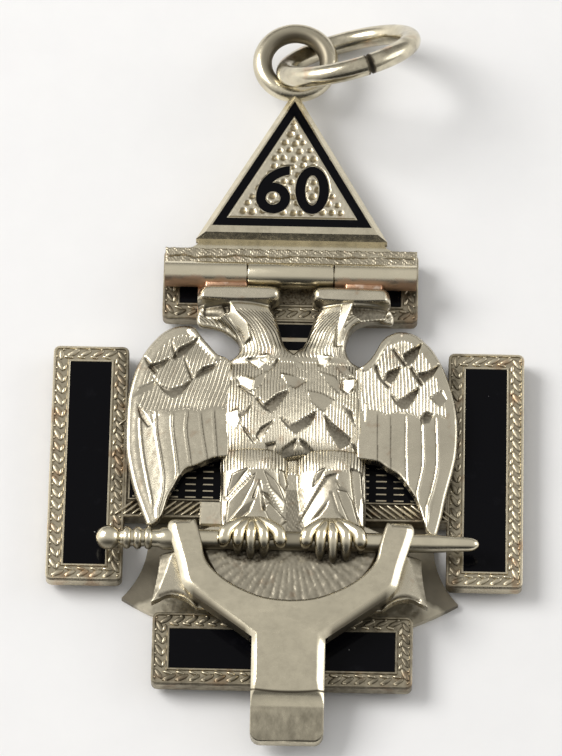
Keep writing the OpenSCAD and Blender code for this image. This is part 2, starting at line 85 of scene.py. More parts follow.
# Outside radius of the hanger's eye
EYE_RADIUS = 3.15
# The jump ring: radius of its wire's middle, how it lies, and where round it the split is
RING_RADIUS = 4.7
RING_TURN = math.radians(20)
RING_LEAN = math.radians(51.5)
SPLIT_AT = math.radians(-83.5)
# The roped strip beside each arm's enamel, and how much narrower the upper arm is on each side
ROPE_WIDTH = 1.45
UPPER_ARM_TRIM = 0.6
# How much longer than wide the cells of a chased piece are
ROW_STRETCH = 1.6
# The middle of the tail's fan, and the crease across the yoke's stem
FAN_Y = -5.2
CREASE_Y = -18.1


# Settings that a user would change

class FobFinish(bpy.types.PropertyGroup):
    """Colours of the fob's metals and enamel"""
    polished: FloatVectorProperty(
        name="Polished metal", description="Colour of the polished yoke and barrels",
        default=(0.86, 0.785, 0.60), subtype="COLOR", min=0, max=1)
    cast: FloatVectorProperty(
        name="Cast metal", description="Colour of the chased eagle",
        default=(0.72, 0.66, 0.52), subtype="COLOR", min=0, max=1)
    cross: FloatVectorProperty(
        name="Cross metal", description="Colour of the cross and its milled borders",
        default=(0.74, 0.66, 0.49), subtype="COLOR", min=0, max=1)
    # The patina colour is also the colour of the painted shade that some finishes lay on
    patina: FloatVectorProperty(
        name="Patina", description="Colour of the tarnish that stays in cuts and channels",
        default=(0.045, 0.034, 0.021), subtype="COLOR", min=0, max=1)
    solder: FloatVectorProperty(
        name="Solder", description="Colour of the coppery solder at the hinge",
        default=(0.60, 0.37, 0.24), subtype="COLOR", min=0, max=1)
    enamel: FloatVectorProperty(
        name="Enamel", description="Colour of the hard enamel",
        default=(0.003, 0.003, 0.004), subtype="COLOR", min=0, max=1)


class FobCasting(bpy.types.PropertyGroup):
    """How finely the eagle is cast and chased"""
    grid: FloatProperty(
        name="Grid", description="Width of the relief's mesh cells",
        default=0.042 * MM, min=0.03 * MM, max=0.2 * MM, unit="LENGTH", precision=6)
    hatch_pitch: FloatProperty(
        name="Hatch pitch", description="Distance between the graver's lines",
        default=0.225 * MM, min=0.1 * MM, max=0.5 * MM, unit="LENGTH", precision=6)
    hatch_depth: FloatProperty(
        name="Hatch depth", description="Depth of the graver's lines",
        default=0.04 * MM, min=0, max=0.1 * MM, unit="LENGTH", precision=6)
    cut_depth: FloatProperty(
        name="Cut depth", description="Depth of the deepest chisel cuts",
        default=0.3 * MM, min=0.05 * MM, max=0.4 * MM, unit="LENGTH", precision=6)


class FobCross(bpy.types.PropertyGroup):
    """The cross's milled borders and patterned arms"""
    bead_pitch: FloatProperty(
        name="Bead pitch", description="Distance between the milled beads",
        default=0.92 * MM, min=0.4 * MM, max=2 * MM, unit="LENGTH", precision=6)
    bead_turn: FloatProperty(
        name="Bead turn", description="How far each bead is turned from its channel",
        default=math.radians(30), min=0, max=math.radians(60), unit="ROTATION")
    rope_pitch: FloatProperty(
        name="Rope pitch", description="Distance between the roped strip's strands",
        default=0.57 * MM, min=0.3 * MM, max=2 * MM, unit="LENGTH", precision=6)
    dash_pitch: FloatProperty(
        name="Dash pitch", description="Distance between the rows of dashes in the arms' enamel",
        default=0.5 * MM, min=0.3 * MM, max=2 * MM, unit="LENGTH", precision=6)


class FobHanger(bpy.types.PropertyGroup):
    """The triangle's pitted field"""
    pit_pitch: FloatProperty(
        name="Pit pitch", description="Distance between the field's pits",
        default=0.72 * MM, min=0.4 * MM, max=2 * MM, unit="LENGTH", precision=6)
    pit_radius: FloatProperty(
        name="Pit radius", description="Radius of the field's pits",
        default=0.27 * MM, min=0.1 * MM, max=0.5 * MM, unit="LENGTH", precision=6)


class FobYoke(bpy.types.PropertyGroup):
    """The catch yoke"""
    bevel: FloatProperty(
        name="Bevel", description="Width of the polished bevel",
        default=0.62 * MM, min=0.1 * MM, max=0.7 * MM, unit="LENGTH", precision=6)
    drop: FloatProperty(
        name="Bevel drop", description="Height of the polished bevel",
        default=0.42 * MM, min=0.1 * MM, max=0.6 * MM, unit="LENGTH", precision=6)
    tab_radius: FloatProperty(
        name="Tab corner", description="Radius of the thumb tab's corners",
        default=0.7 * MM, min=0.1 * MM, max=2 * MM, unit="LENGTH", precision=6)


class FobStage(bpy.types.PropertyGroup):
    """Camera and lights"""
    elevation: FloatProperty(
        name="Elevation", description="Height of the camera above the floor, as an angle",
        default=math.radians(65.5), unit="ROTATION")
    roll: FloatProperty(
        name="Turn", description="How far the camera stands round the fob",
        default=math.radians(1.25), unit="ROTATION")
    distance: FloatProperty(
        name="Distance", description="Distance of the camera",
        default=500 * MM, min=100 * MM, unit="LENGTH")
    lens: FloatProperty(
        name="Lens", description="Focal length of the camera in millimetres",
        default=330, min=50, max=600)
    aim: FloatVectorProperty(
        name="Aim", description="Point of the fob in the middle of the view",
        default=(-0.54 * MM, 6.91 * MM, 1.8 * MM), subtype="TRANSLATION")
    key: FloatProperty(
        name="Key light", description="Strength of the left softbox in watts",
        default=2.85, min=0)
    fill: FloatProperty(
        name="Fill light", description="Strength of the right softbox in watts",
        default=0.6, min=0)
    sky: FloatProperty(
        name="Room light", description="Brightness of the surroundings",
        default=0.57, min=0)
    seed: IntProperty(
        name="Seed", description="Seed of everything scattered by chance",
        default=7, min=0)


# Outlines

def loop_points(points, steps=4):
    """A smooth closed run through points. A point given twice stays a corner"""
    p = np.array(points, float)
    n = len(p)
    out = []
    for i in range(n):
        a, b, c, d = p[(i - 1) % n], p[i], p[(i + 1) % n], p[(i + 2) % n]
        if np.allclose(b, c):
            continue
        for k in range(steps):
            out.append(spline(a, b, c, d, k / steps))
    return np.array(out)


def run_points(points, steps=4):
    """A smooth open run through points"""
    p = np.array(points, float)
    last = len(p) - 1
    out = [
        spline(p[max(i - 1, 0)], p[i], p[i + 1], p[min(i + 2, last)], k / steps)
        for i in range(last)
        for k in range(steps)]
    return np.array(out + [p[-1]])


def spline(a, b, c, d, t):
    """A point between b and c on the smooth curve through all four"""
    return 0.5 * (2 * b + (c - a) * t + (2 * a - 5 * b + 4 * c - d) * t ** 2
                  + (3 * b - a - 3 * c + d) * t ** 3)


def mirrored(points):
    """The points on the other side of the Y axis, in the other order"""
    return [(-x, y) for x, y in reversed(points)]


def cornered(points):
    """Each point twice, so that loop_points keeps it a corner"""
    return [p for p in points for _ in (0, 1)]


def box_mm(name):
    """The lowest and the highest corner of a node, in millimetres"""
    return tuple(np.array(corner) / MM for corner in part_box(name))


def segment_distance(x, y, a, b):
    """Squared distance to a segment, and the nearest point on it"""
    ex, ey = b[0] - a[0], b[1] - a[1]
    length2 = max(ex * ex + ey * ey, 1e-12)
    t = np.clip(((x - a[0]) * ex + (y - a[1]) * ey) / length2, 0, 1)
    px, py = a[0] + t * ex, a[1] + t * ey
    return (x - px) ** 2 + (y - py) ** 2, px, py


def inside_distance(x, y, loop):
    """How far each point lies inside a closed outline, and the outline's nearest point"""
    best = np.full(x.shape, 1e9)
    near_x, near_y = x.copy(), y.copy()
    inside = np.zeros(x.shape, bool)
    for a, b in zip(loop, np.roll(loop, -1, axis=0)):
        d2, px, py = segment_distance(x, y, a, b)
        closer = d2 < best
        best[closer] = d2[closer]
        near_x[closer] = px[closer]
        near_y[closer] = py[closer]
        if a[1] != b[1]:
            spans = (a[1] > y) != (b[1] > y)
            inside ^= spans & (x < a[0] + (y - a[1]) * (b[0] - a[0]) / (b[1] - a[1]))
    d = np.sqrt(best)
    return np.where(inside, d, -d), near_x, near_y


def smoothstep(value, low, high):
    """0 below low, 1 above high, and a smooth rise between them"""
    t = np.clip((value - low) / (high - low), 0, 1)
    return t * t * (3 - 2 * t)


def line_distance(x, y, points):
    """Distance to an open line"""
    best = np.full(x.shape, 1e9)
    for a, b in zip(points[:-1], points[1:]):
        best = np.minimum(best, segment_distance(x, y, a, b)[0])
    return np.sqrt(best)


def table_at(rows, y, column):
    """A column of a table whose first column is y, read smoothly at each y"""
    rows = run_points(sorted(rows), 6)
    return np.interp(y, rows[:, 0], rows[:, column])


# Meshes

def placed(name, data):
    """A new object in the scene, from its mesh, light or camera"""
    obj = bpy.data.objects.new(name, data)
    bpy.context.scene.collection.objects.link(obj)
    return obj


def to_object(name, verts_mm, faces=(), edges=()):
    """A smooth mesh object from points in millimetres"""
    mesh = bpy.data.meshes.new(name)
    mesh.from_pydata([tuple(v) for v in np.array(verts_mm) * MM], edges, faces)
    mesh.validate()
    mesh.polygons.foreach_set("use_smooth", [True] * len(mesh.polygons))
    return placed(name, mesh)


def carry(obj, name, values):
    """Let a piece carry one number at each of its vertices"""
    layer = obj.data.attributes.new(name, "FLOAT", "POINT")
    layer.data.foreach_set("value", np.asarray(values, np.float32))


def sharpen(obj, degrees):
    """Smooth shading that breaks at edges steeper than degrees"""
    obj.data.polygons.foreach_set("use_smooth", [True] * len(obj.data.polygons))
    obj.data.set_sharp_from_angle(angle=math.radians(degrees))


def face_outwards(obj, merge_mm=0.0005):
    """Merge doubles and turn every face outwards"""
    bm = bmesh.new()
    bm.from_mesh(obj.data)
    bmesh.ops.remove_doubles(bm, verts=bm.verts, dist=merge_mm * MM)
    bmesh.ops.recalc_face_normals(bm, faces=bm.faces)
    bm.to_mesh(obj.data)
    bm.free()


def joined(name, objects):
    """One object from several closed ones"""
    bm = bmesh.new()
    for o in objects:
        bm.from_mesh(o.data)
        bpy.data.objects.remove(o)
    mesh = bpy.data.meshes.new(name)
    bm.to_mesh(mesh)
    bm.free()
    return placed(name, mesh)


def ring_faces(rings, count, closed=False):
    """Quads between rings of count points each. closed joins the last ring to the first"""
    ahead = [*range(1, rings), 0] if closed else range(1, rings)
    return [
        (r * count + i, r * count + (i + 1) % count, s * count + (i + 1) % count, s * count + i)
        for r, s in enumerate(ahead)
        for i in range(count)]


def skinned(name, rings, degrees=35, shares=None):
    """A closed solid over rings of equal length. shares holds each ring's tarnish"""
    n = len(rings[0])
    last = (len(rings) - 1) * n
    faces = ring_faces(len(rings), n)
    faces += [tuple(range(n - 1, -1, -1)), tuple(range(last, last + n))]
    obj = to_object(name, [p for ring in rings for p in ring], faces)
    if shares:
        carry(obj, "patina", np.repeat(shares, n))
    face_outwards(obj)
    sharpen(obj, degrees)
    return obj


def rounded_ring(cx, cy, hx, hy, r, z, steps=4):
    """A rounded rectangle at height z"""
    r = max(r, 0.001)
    ring = []
    for quarter, (sx, sy) in enumerate(((1, 1), (-1, 1), (-1, -1), (1, -1))):
        for k in range(steps + 1):
            a = math.radians(90 * quarter + 90 * k / steps)
            ring.append((
                cx + sx * (hx - r) + r * math.cos(a), cy + sy * (hy - r) + r * math.sin(a), z))
    return ring


def plate_rings(cx, cy, hx, hy, corner, levels):
    """Nested rounded rectangles. levels holds an inset and a height for each"""
    return [rounded_ring(cx, cy, hx - d, hy - d, corner - d, z) for d, z in levels]


def turned_x(name, profile, y, z, sides=64):
    """A body of revolution about an axis along X. profile holds x and radius, and is a closed loop"""
    verts = [
        (px, y + r * math.cos(a), z + r * math.sin(a))
        for a in (2 * math.pi * k / sides for k in range(sides))
        for px, r in profile]
    obj = to_object(name, verts, ring_faces(sides, len(profile), closed=True))
    face_outwards(obj)
    sharpen(obj, 40)
    return obj


def limb(name, path, radii, sides=12):
    """A round tapering finger along a smooth path, with closed ends"""
    points = run_points(path, 5)
    radius = np.interp(np.linspace(0, 1, len(points)), np.linspace(0, 1, len(radii)), radii)
    rings = []
    for i, p in enumerate(points):
        ahead = points[min(i + 1, len(points) - 1)] - points[max(i - 1, 0)]
        ahead /= np.linalg.norm(ahead)
        side = np.cross(ahead, (1, 0, 0.2))
        side /= np.linalg.norm(side)
        across = np.cross(ahead, side)
        rings.append([
            tuple(p + radius[i] * (math.cos(a) * side + math.sin(a) * across))
            for a in np.linspace(0, 2 * math.pi, sides, endpoint=False)])
    return skinned(name, rings, 60)


# Cast relief

# How much larger a chisel cut is made than its outline, and how far the graver's lines wander
CUT_GROWN = 1.2
LINE_WANDER = 0.1


class Relief:
    """A cast piece: heights over a grid inside an outline, in millimetres, with a flat underside"""

    def __init__(self, outline, step_x, step_y, under):
        self.loop = np.array(outline)
        self.under = under
        low = self.loop.min(0) - (step_x, step_y)
        high = self.loop.max(0) + (step_x, step_y)
        xs = np.arange(low[0], high[0] + step_x, step_x)
        ys = np.arange(low[1], high[1] + step_y, step_y)
        self.shape = (len(ys), len(xs))
        self.step = (step_x, step_y)
        gx, gy = np.meshgrid(xs, ys)
        gx, gy = gx.ravel(), gy.ravel()
        d, near_x, near_y = inside_distance(gx, gy, self.loop)
        active = d > -0.45 * min(step_x, step_y)
        number = np.arange(len(gx)).reshape(self.shape)
        corners = np.stack([
            number[:-1, :-1].ravel(), number[:-1, 1:].ravel(),
            number[1:, 1:].ravel(), number[1:, :-1].ravel()], 1)
        live = active[corners]
        deep = (d[corners] > 0).any(1)
        quads = corners[live.all(1) & deep]
        threes = corners[(live.sum(1) == 3) & deep]
        kept = active[threes]
        tris = threes[kept].reshape(-1, 3)
        self.faces = [tuple(q) for q in quads.tolist()] + [tuple(t) for t in tris.tolist()]
        self.rim = self._rim(quads, tris, len(gx))
        snapped = self.rim[:, 0]
        gx[snapped], gy[snapped] = near_x[snapped], near_y[snapped]
        d[snapped] = 0
        self.used = np.unique(np.concatenate([quads.ravel(), tris.ravel()]))
        self.x, self.y, self.d = gx, gy, np.maximum(d, 0)
        self.h, self.dark, self.plain, self.lines, self.lined = np.zeros((5, len(gx)))

    @staticmethod
    def _rim(quads, tris, count):
        """The outer edges of the grid's faces, each once and in the faces' direction"""
        edges = [quads[:, [i, (i + 1) % 4]] for i in range(4)]
        edges += [tris[:, [i, (i + 1) % 3]] for i in range(3)]
        edges = np.concatenate(edges)
        keys = edges[:, 0].astype(np.int64) * count + edges[:, 1]
        back = edges[:, 1].astype(np.int64) * count + edges[:, 0]
        return edges[~np.isin(keys, back)]

    def soft_inside(self, points, edge=0.05):
        """1 inside an outline and 0 outside it, with a soft step between"""
        d = inside_distance(self.x, self.y, np.array(points, float))[0]
        return np.clip(d / edge + 0.5, 0, 1)

    def darken(self, share):
        """Make the darkening at least share: patina in cuts and hollows, and painted shade where a piece lays
        it
        """
        self.dark = np.maximum(self.dark, share)

    def round_edge(self, radius, depth, mask=1.0):
        """Lower the edge by depth, easing to nothing radius further in"""
        self.h -= depth * (1 - np.clip(self.d / radius, 0, 1)) ** 2 * mask

    def facet(self, points, deep, depth, dark, shallow=0.0):
        """A flat chisel cut, deepest on the side that deep points to, and grown about its middle. Its
        darkening, strongest on the deep side, is partly patina in the cut and partly painted shade
        """
        p = np.array(points, float)
        p = p.mean(0) + CUT_GROWN * (p - p.mean(0))
        way = np.array(deep, float) / np.hypot(*deep)
        reach = p @ way
        share = (self.x * way[0] + self.y * way[1] - reach.min()) / (reach.max() - reach.min())
        share = shallow + (1 - shallow) * np.clip(share, 0, 1)
        inside = self.soft_inside(p)
        self.h -= depth * share * inside
        self.plain = np.maximum(self.plain, inside)
        # Painted shade: darker towards the deep side, on top of the patina in the cut
        self.darken(dark * inside * (0.5 + 0.5 * share))

    def plane(self, points, tilt, lift, dark=0.0):
        """A flat patch that tilts across its middle and interrupts the hatching"""
        p = np.array(points, float)
        mid = p.mean(0)
        inside = self.soft_inside(p, 0.08)
        self.h += inside * (lift + (self.x - mid[0]) * tilt[0] + (self.y - mid[1]) * tilt[1])
        self.plain = np.maximum(self.plain, inside)
        self.darken(dark * inside)

    def groove(self, points, width, depth, dark):
        """A channel along a line, with tarnish in it"""
        d = line_distance(self.x, self.y, np.array(points, float))
        near = np.clip(1 - d / (width / 2), 0, 1)
        self.h -= depth * near
        self.darken(dark * np.clip(near * 1.6, 0, 1))

    def ridge(self, points, width, height):
        """A rounded ridge along a line"""
        d = line_distance(self.x, self.y, np.array(points, float))
        near = np.clip(1 - (2 * d / width) ** 2, 0, 1)
        self.h += height * near
        self.plain = np.maximum(self.plain, np.clip(near * 2, 0, 1))

    def hatch(self, across, pitch, mask):
        """Graver's lines where mask isn't nought, one for each pitch of across"""
        drift = np.sin(self.y * 1.7 + self.x * 0.9) + np.sin(self.x * 2.3 - self.y * 0.6)
        here = mask > 0
        self.lines[here] = (across / pitch + LINE_WANDER * drift)[here]
        self.lined = np.where(here, np.maximum(self.lined, mask * (1 - self.plain)), self.lined)

    def grain(self, scale, depth, seed, mask=1.0):
        """A lumpy cast surface"""
        rng = np.random.default_rng(seed)
        total = np.zeros(len(self.x))
        for _ in range(14):
            a, b = rng.uniform(0, 2 * math.pi, 2)
            k = rng.uniform(0.6, 1.6) / scale
            total += np.sin(2 * math.pi * k * (self.x * math.cos(a) + self.y * math.sin(a)) + b)
        self.h += depth * mask * total / 4

    def mean_height(self, cells, rounds):
        """The height round each point, averaged over the cells that the piece has"""
        have, total = np.zeros((2, *self.shape))
        have.ravel()[self.used] = 1
        total.ravel()[self.used] = self.h[self.used]
        for _ in range(rounds):
            total = box_blur(total, cells)
            have = box_blur(have, cells)
        return (total / np.maximum(have, 1e-6)).ravel()

    def cavity(self, reach):
        """How far each point lies below its surroundings"""
        cells = (max(1, round(reach / self.step[1])), max(1, round(reach / self.step[0])))
        return self.mean_height(cells, 2) - self.h

    def soften(self, share):
        """Round the relief's sharpest steps over one cell"""
        self.h += share * (self.mean_height((1, 1), 1) - self.h)

    def build(self, name, place=(0, 0), patina_gain=2.5):
        """The closed piece, with its patina and its painted shade carried in its patina attribute"""
        self.soften(0.6)
        patina = np.clip(np.maximum(self.dark, patina_gain * self.cavity(0.22)), 0, 1)
        used = self.used
        slot = np.full(len(self.x), -1)
        slot[used] = np.arange(len(used))
        top = np.stack([self.x + place[0], self.y + place[1], self.under + self.h], 1)[used]
        rim_from, rim_to = slot[self.rim[:, 0]], slot[self.rim[:, 1]]
        low_of = {v: len(used) + i for i, v in enumerate(sorted(set(rim_from.tolist())))}
        low = np.array([(top[v][0], top[v][1], self.under) for v in sorted(low_of)])
        faces = [tuple(slot[list(f)].tolist()) for f in self.faces]
        top_faces = len(faces)
        ahead = dict(zip(rim_from.tolist(), rim_to.tolist()))
        faces += [(v, u, low_of[u], low_of[v]) for u, v in ahead.items()]
        left = set(ahead)
        while left:
            start = left.pop()
            loop = [start]
            step = ahead[start]
            while step != start and step in left:
                left.remove(step)
                loop.append(step)
                step = ahead[step]
            if len(loop) > 2:
                faces.append(tuple(low_of[v] for v in reversed(loop)))
        obj = to_object(name, np.concatenate([top, low]), faces)
        flat = [i < top_faces for i in range(len(obj.data.polygons))]
        obj.data.polygons.foreach_set("use_smooth", flat)
        for key, values, below in (
                ("patina", patina, 0.3), ("engraved", self.lines, 0), ("engraved_share", self.lined, 0)):
            carry(obj, key, np.concatenate([values[used], np.full(len(low), below)]))
        return obj


def box_blur(grid, cells):
    """A moving average over a few cells each way"""
    for axis, half in enumerate(cells):
        pad = [(half + 1, half) if i == axis else (0, 0) for i in (0, 1)]
        total = np.cumsum(np.pad(grid, pad), axis=axis)
        width = 2 * half + 1
        if axis == 0:
            grid = (total[width:] - total[:-width]) / width
        else:
            grid = (total[:, width:] - total[:, :-width]) / width
    return grid


def dome(x, mid, half, height):
    """The cast body's cross section: a flat-topped arch"""
    t = np.clip((x - mid) / half, -1, 1)
    return height * (0.3 + 0.7 * np.clip(1 - t * t, 0, 1) ** 0.72)


# Materials

def node(tree, kind, inputs=None, **settings):
    """A node with its settings, and with its inputs set or linked"""
    made = tree.nodes.new(kind)
    for key, value in settings.items():
        setattr(made, key, value)
    for key, value in (inputs or {}).items():
        socket = made.inputs[key]
        if isinstance(value, bpy.types.NodeSocket):
            tree.links.new(value, socket)
        else:
            socket.default_value = value
    return made


def calc(tree, operation, *values):
    """A value worked out from others, each a socket or a number"""
    return node(tree, "ShaderNodeMath", dict(enumerate(values)), operation=operation).outputs[0]


def highest(tree, first, *others):
    """The largest of some values"""
    for other in others:
        first = calc(tree, "MAXIMUM", first, other)
    return first


def spread(tree, value, low, high, to_low=0.0, to_high=1.0):
    """value carried from one range to another, and kept inside it"""
    made = node(tree, "ShaderNodeMapRange", {
        "Value": value, "From Min": low, "From Max": high, "To Min": to_low, "To Max": to_high})
    return made.outputs["Result"]


def noise(tree, place, size_mm, detail=2.0, rough=0.5, stretch=(1, 1, 1)):
    """Noise whose lumps are about size_mm across"""
    moved = node(tree, "ShaderNodeMapping", {"Vector": place, "Scale": stretch})
    made = node(tree, "ShaderNodeTexNoise", {
        "Vector": moved.outputs["Vector"], "Scale": 1 / (size_mm * MM), "Detail": detail,
        "Roughness": rough})
    return made.outputs["Fac"]


def lumpy(tree, place, value, size_mm, depth_mm, detail=3, rough=0.6):
    """A value that noise pushes about, so that whatever ends there has an uneven edge"""
    lumps = noise(tree, place, size_mm, detail, rough)
    return calc(tree, "MULTIPLY_ADD", lumps, depth_mm * MM, value)


def tinted(tree, factor, a, b):
    """A mix of two colours, each a socket or a plain colour"""
    values = [v if isinstance(v, bpy.types.NodeSocket) else (*v, 1.0) for v in (a, b)]
    made = node(tree, "ShaderNodeMix", {0: factor, 6: values[0], 7: values[1]}, data_type="RGBA")
    return made.outputs[2]


def parts(tree, place):
    """The X, Y and Z of a place"""
    return tuple(node(tree, "ShaderNodeSeparateXYZ", {"Vector": place}).outputs)


def off_middle(tree, x):
    """How far x lies to the right of the leaf's middle"""
    return calc(tree, "SUBTRACT", x, LEAF_X * MM)


def away_from(tree, place, centre):
    """How far each place lies from centre"""
    made = node(tree, "ShaderNodeVectorMath", {0: place, 1: tuple(centre)}, operation="DISTANCE")
    return made.outputs["Value"]


def carried(tree, name):
    """What a piece carries in one of its attributes"""
    return node(tree, "ShaderNodeAttribute", attribute_name=name).outputs["Fac"]


def new_material(name):
    """An empty material, its node tree and the places on its object"""
    material = bpy.data.materials.new("fob_" + name)
    material.use_nodes = True
    tree = material.node_tree
    tree.nodes.clear()
    return material, tree, node(tree, "ShaderNodeTexCoord").outputs["Object"]


def surfaced(material, inputs):
    """The material, with these inputs to its surface"""
    tree = material.node_tree
    shader = node(tree, "ShaderNodeBsdfPrincipled", inputs)
    node(tree, "ShaderNodeOutputMaterial", {"Surface": shader.outputs["BSDF"]})
    return material


def engraved(tree):
    """The depth of the graver's lines, from the attributes that a cast piece carries"""
    wave = calc(tree, "PINGPONG", carried(tree, "engraved"), 0.5)
    return calc(tree, "MULTIPLY", spread(tree, wave, 0.2, 0.46), carried(tree, "engraved_share"))


def metal(name, colour, rough, grain, cloud, share=1.0, stretch=(1, 1, 1), tarnish=None,
          patina="patina", cover=1.0, stain=None, lined=False):
    """Worn metal. colour and patina are colours of the fob's or, for patina, one of its own. grain
    is its size and strength, and stain is a colour, a size, where it starts and its strength.
    tarnish says where the patina colour goes: patina in hollows and, in some finishes, painted shade"""
    material, tree, place = new_material(name)
    settings = bpy.context.scene.fob_finish
    colour = tuple(share * c for c in getattr(settings, colour))
    if isinstance(patina, str):
        patina = getattr(settings, patina)
    cloudy = spread(tree, noise(tree, place, 2.2, 3, 0.6), 0.35, 0.7, 0, cloud * 2)
    base = tinted(tree, cloudy, colour, tuple(0.62 * c for c in colour))
    if stain:
        stain_colour, size, start, strength = stain
        stained = spread(tree, noise(tree, place, size, 2, 0.5), start, start + 0.12, 0, strength)
        base = tinted(tree, stained, base, stain_colour)
    fine = noise(tree, place, grain[0], 3, 0.6, stretch)
    roughness = spread(tree, fine, 0.3, 0.7, *rough)
    if tarnish:
        dark = spread(tree, tarnish(tree, place), 0, 1, 0, cover)
        base = tinted(tree, dark, base, patina)
        roughness = highest(tree, roughness, spread(tree, dark, 0, 1, rough[0], 0.55))
    bump = node(tree, "ShaderNodeBump", {
        "Height": fine, "Strength": grain[1], "Distance": 0.02 * MM})
    if lined:
        cut = engraved(tree)
        base = tinted(tree, spread(tree, cut, 0.3, 1, 0, 0.8), base, patina)
        bump = node(tree, "ShaderNodeBump", {
            "Height": cut, "Strength": 1.0, "Normal": bump.outputs["Normal"],
            "Distance": bpy.context.scene.fob_casting.hatch_depth}, invert=True)
    return surfaced(material, {
        "Base Color": base, "Roughness": roughness, "Normal": bump.outputs["Normal"],
        "Metallic": 1.0})


# Tarnish and painted shade: how much of them lies at each place

def carried_patina_and_shade(tree, place):
    """The patina and painted shade that a cast piece carries in its own attribute, broken up by noise"""
    speck = spread(tree, noise(tree, place, 0.16, 3, 0.6), 0.3, 0.7, 0.75, 1.15)
    return calc(tree, "MULTIPLY", carried(tree, "patina"), speck)


def patina_and_shade_below(high_mm, low_mm):
    """Darkening of whatever lies below a height: patina in the cross's channels, painted shade under the
    claws
    """
    def share(tree, place):
        wavy = lumpy(tree, place, parts(tree, place)[2], 0.3, 0.05)
        return spread(tree, wavy, high_mm * MM, low_mm * MM)
    return share


def with_leaf_shade(tarnish, share):
    """tarnish, and a brown film of painted shade on the borders that lie beside the leaf or under it"""
    def made(tree, place):
        across = calc(tree, "ABSOLUTE", parts(tree, place)[0])
        near = spread(tree, across, 13.0 * MM, 12.4 * MM)
        cloudy = spread(tree, noise(tree, place, 0.7, 4, 0.6), 0.25, 0.75, 0.35 * share, share)
        return highest(tree, tarnish(tree, place), calc(tree, "MULTIPLY", near, cloudy))
    return made


def plate_shadow_and_specks(tree, place):
    """Painted shadow of the leaf on the plate wherever the leaf shields it, and a few dark specks"""
    x, y, _ = parts(tree, place)
    across = calc(tree, "ABSOLUTE", off_middle(tree, x))
    # The painted shadow ends at a slanting line that drops towards the middle
    line = calc(tree, "MULTIPLY_ADD", across, 0.5, y)
    painted_leaf_shadow = spread(tree, lumpy(tree, place, line, 1.2, 0.8), -4.9 * MM, -4.5 * MM, 0, 0.8)
    speck = spread(tree, noise(tree, place, 0.28, 3, 0.7), 0.66, 0.72, 0, 0.8)
    return highest(tree, painted_leaf_shadow, speck)


def solder_smear(tree, place):
    """Solder that has run on to the lower side of the barrels"""
    smeared = lumpy(tree, place, parts(tree, place)[1], 1.1, 0.7)
    return spread(tree, smeared, (HINGE_Y - 0.1) * MM, (HINGE_Y - 0.35) * MM, 0, 0.85)


def eye_darkening(tree, place):
    """Darker inside the eye, and a light brown film on the whole of it"""
    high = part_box("hanger")[1]
    radius = EYE_RADIUS * MM
    away = away_from(tree, place, (0, high.y - radius, high.z - 0.2 * radius))
    inner = spread(tree, away, 0.88 * radius, 0.68 * radius, 0.2, 0.85)
    on_eye = spread(tree, parts(tree, place)[1], high.y - 1.9 * radius, high.y - 1.4 * radius)
    film = spread(tree, noise(tree, place, 0.9, 3, 0.6), 0.5, 0.8, 0, 0.3)
    return highest(tree, calc(tree, "MULTIPLY", inner, on_eye), film)


def ring_tarnish(tree, place):
    """Rust in the jump ring's split, and a faint brown film"""
    low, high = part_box("jump_ring")
    spot = Vector((math.cos(SPLIT_AT), math.sin(SPLIT_AT), 0)) * RING_RADIUS * MM
    turn = Matrix.Rotation(RING_TURN, 3, "Z") @ Matrix.Rotation(-RING_LEAN, 3, "X")
    away = away_from(tree, place, (low + high) / 2 + turn @ spot)
    rust = spread(tree, lumpy(tree, place, away, 0.3, 0.08, 2), 0.86 * MM, 0.81 * MM, 0, 0.9)
    film = spread(tree, noise(tree, place, 1.4, 3, 0.6), 0.45, 0.7, 0, 0.4)
    return highest(tree, rust, film)


def sword_painted_shade(tree, place):
    """Painted shade along the sword's lower side and between the feet that hold it"""
    x, y, _ = parts(tree, place)
    low = (SWORD_Y - 0.2) * MM
    under = spread(tree, lumpy(tree, place, y, 0.8, 0.25, 2, 0.5), low, low - 0.3 * MM, 0, 0.65)
    across = calc(tree, "ABSOLUTE", off_middle(tree, x))
    between_feet = spread(tree, across, 5.2 * MM, 4.6 * MM, 0, 0.45)
    return highest(tree, under, between_feet)


def slant_painted_shade(tree, side, y):
    """Painted shade inside the slanting edge between the yoke's stem and its shoulder"""
    (x0, y0), (x1, y1) = YOKE_STEM, YOKE_SHOULDER
    length = math.hypot(x1 - x0, y1 - y0)
    from_x = calc(tree, "MULTIPLY", calc(tree, "SUBTRACT", side, x0 * MM), (y0 - y1) / length)
    from_y = calc(tree, "SUBTRACT", y, y0 * MM)
    inside = calc(tree, "MULTIPLY_ADD", from_y, (x1 - x0) / length, from_x)
    edge = spread(tree, inside, 0.55 * MM, 0.1 * MM, 0, 0.85)
    beside_stem = spread(tree, side, x0 * MM, (x0 + 0.5) * MM)
    below_shoulder = spread(tree, side, (x1 + 0.2) * MM, (x1 - 0.2) * MM)
    return calc(tree, "MULTIPLY", edge, calc(tree, "MULTIPLY", beside_stem, below_shoulder))


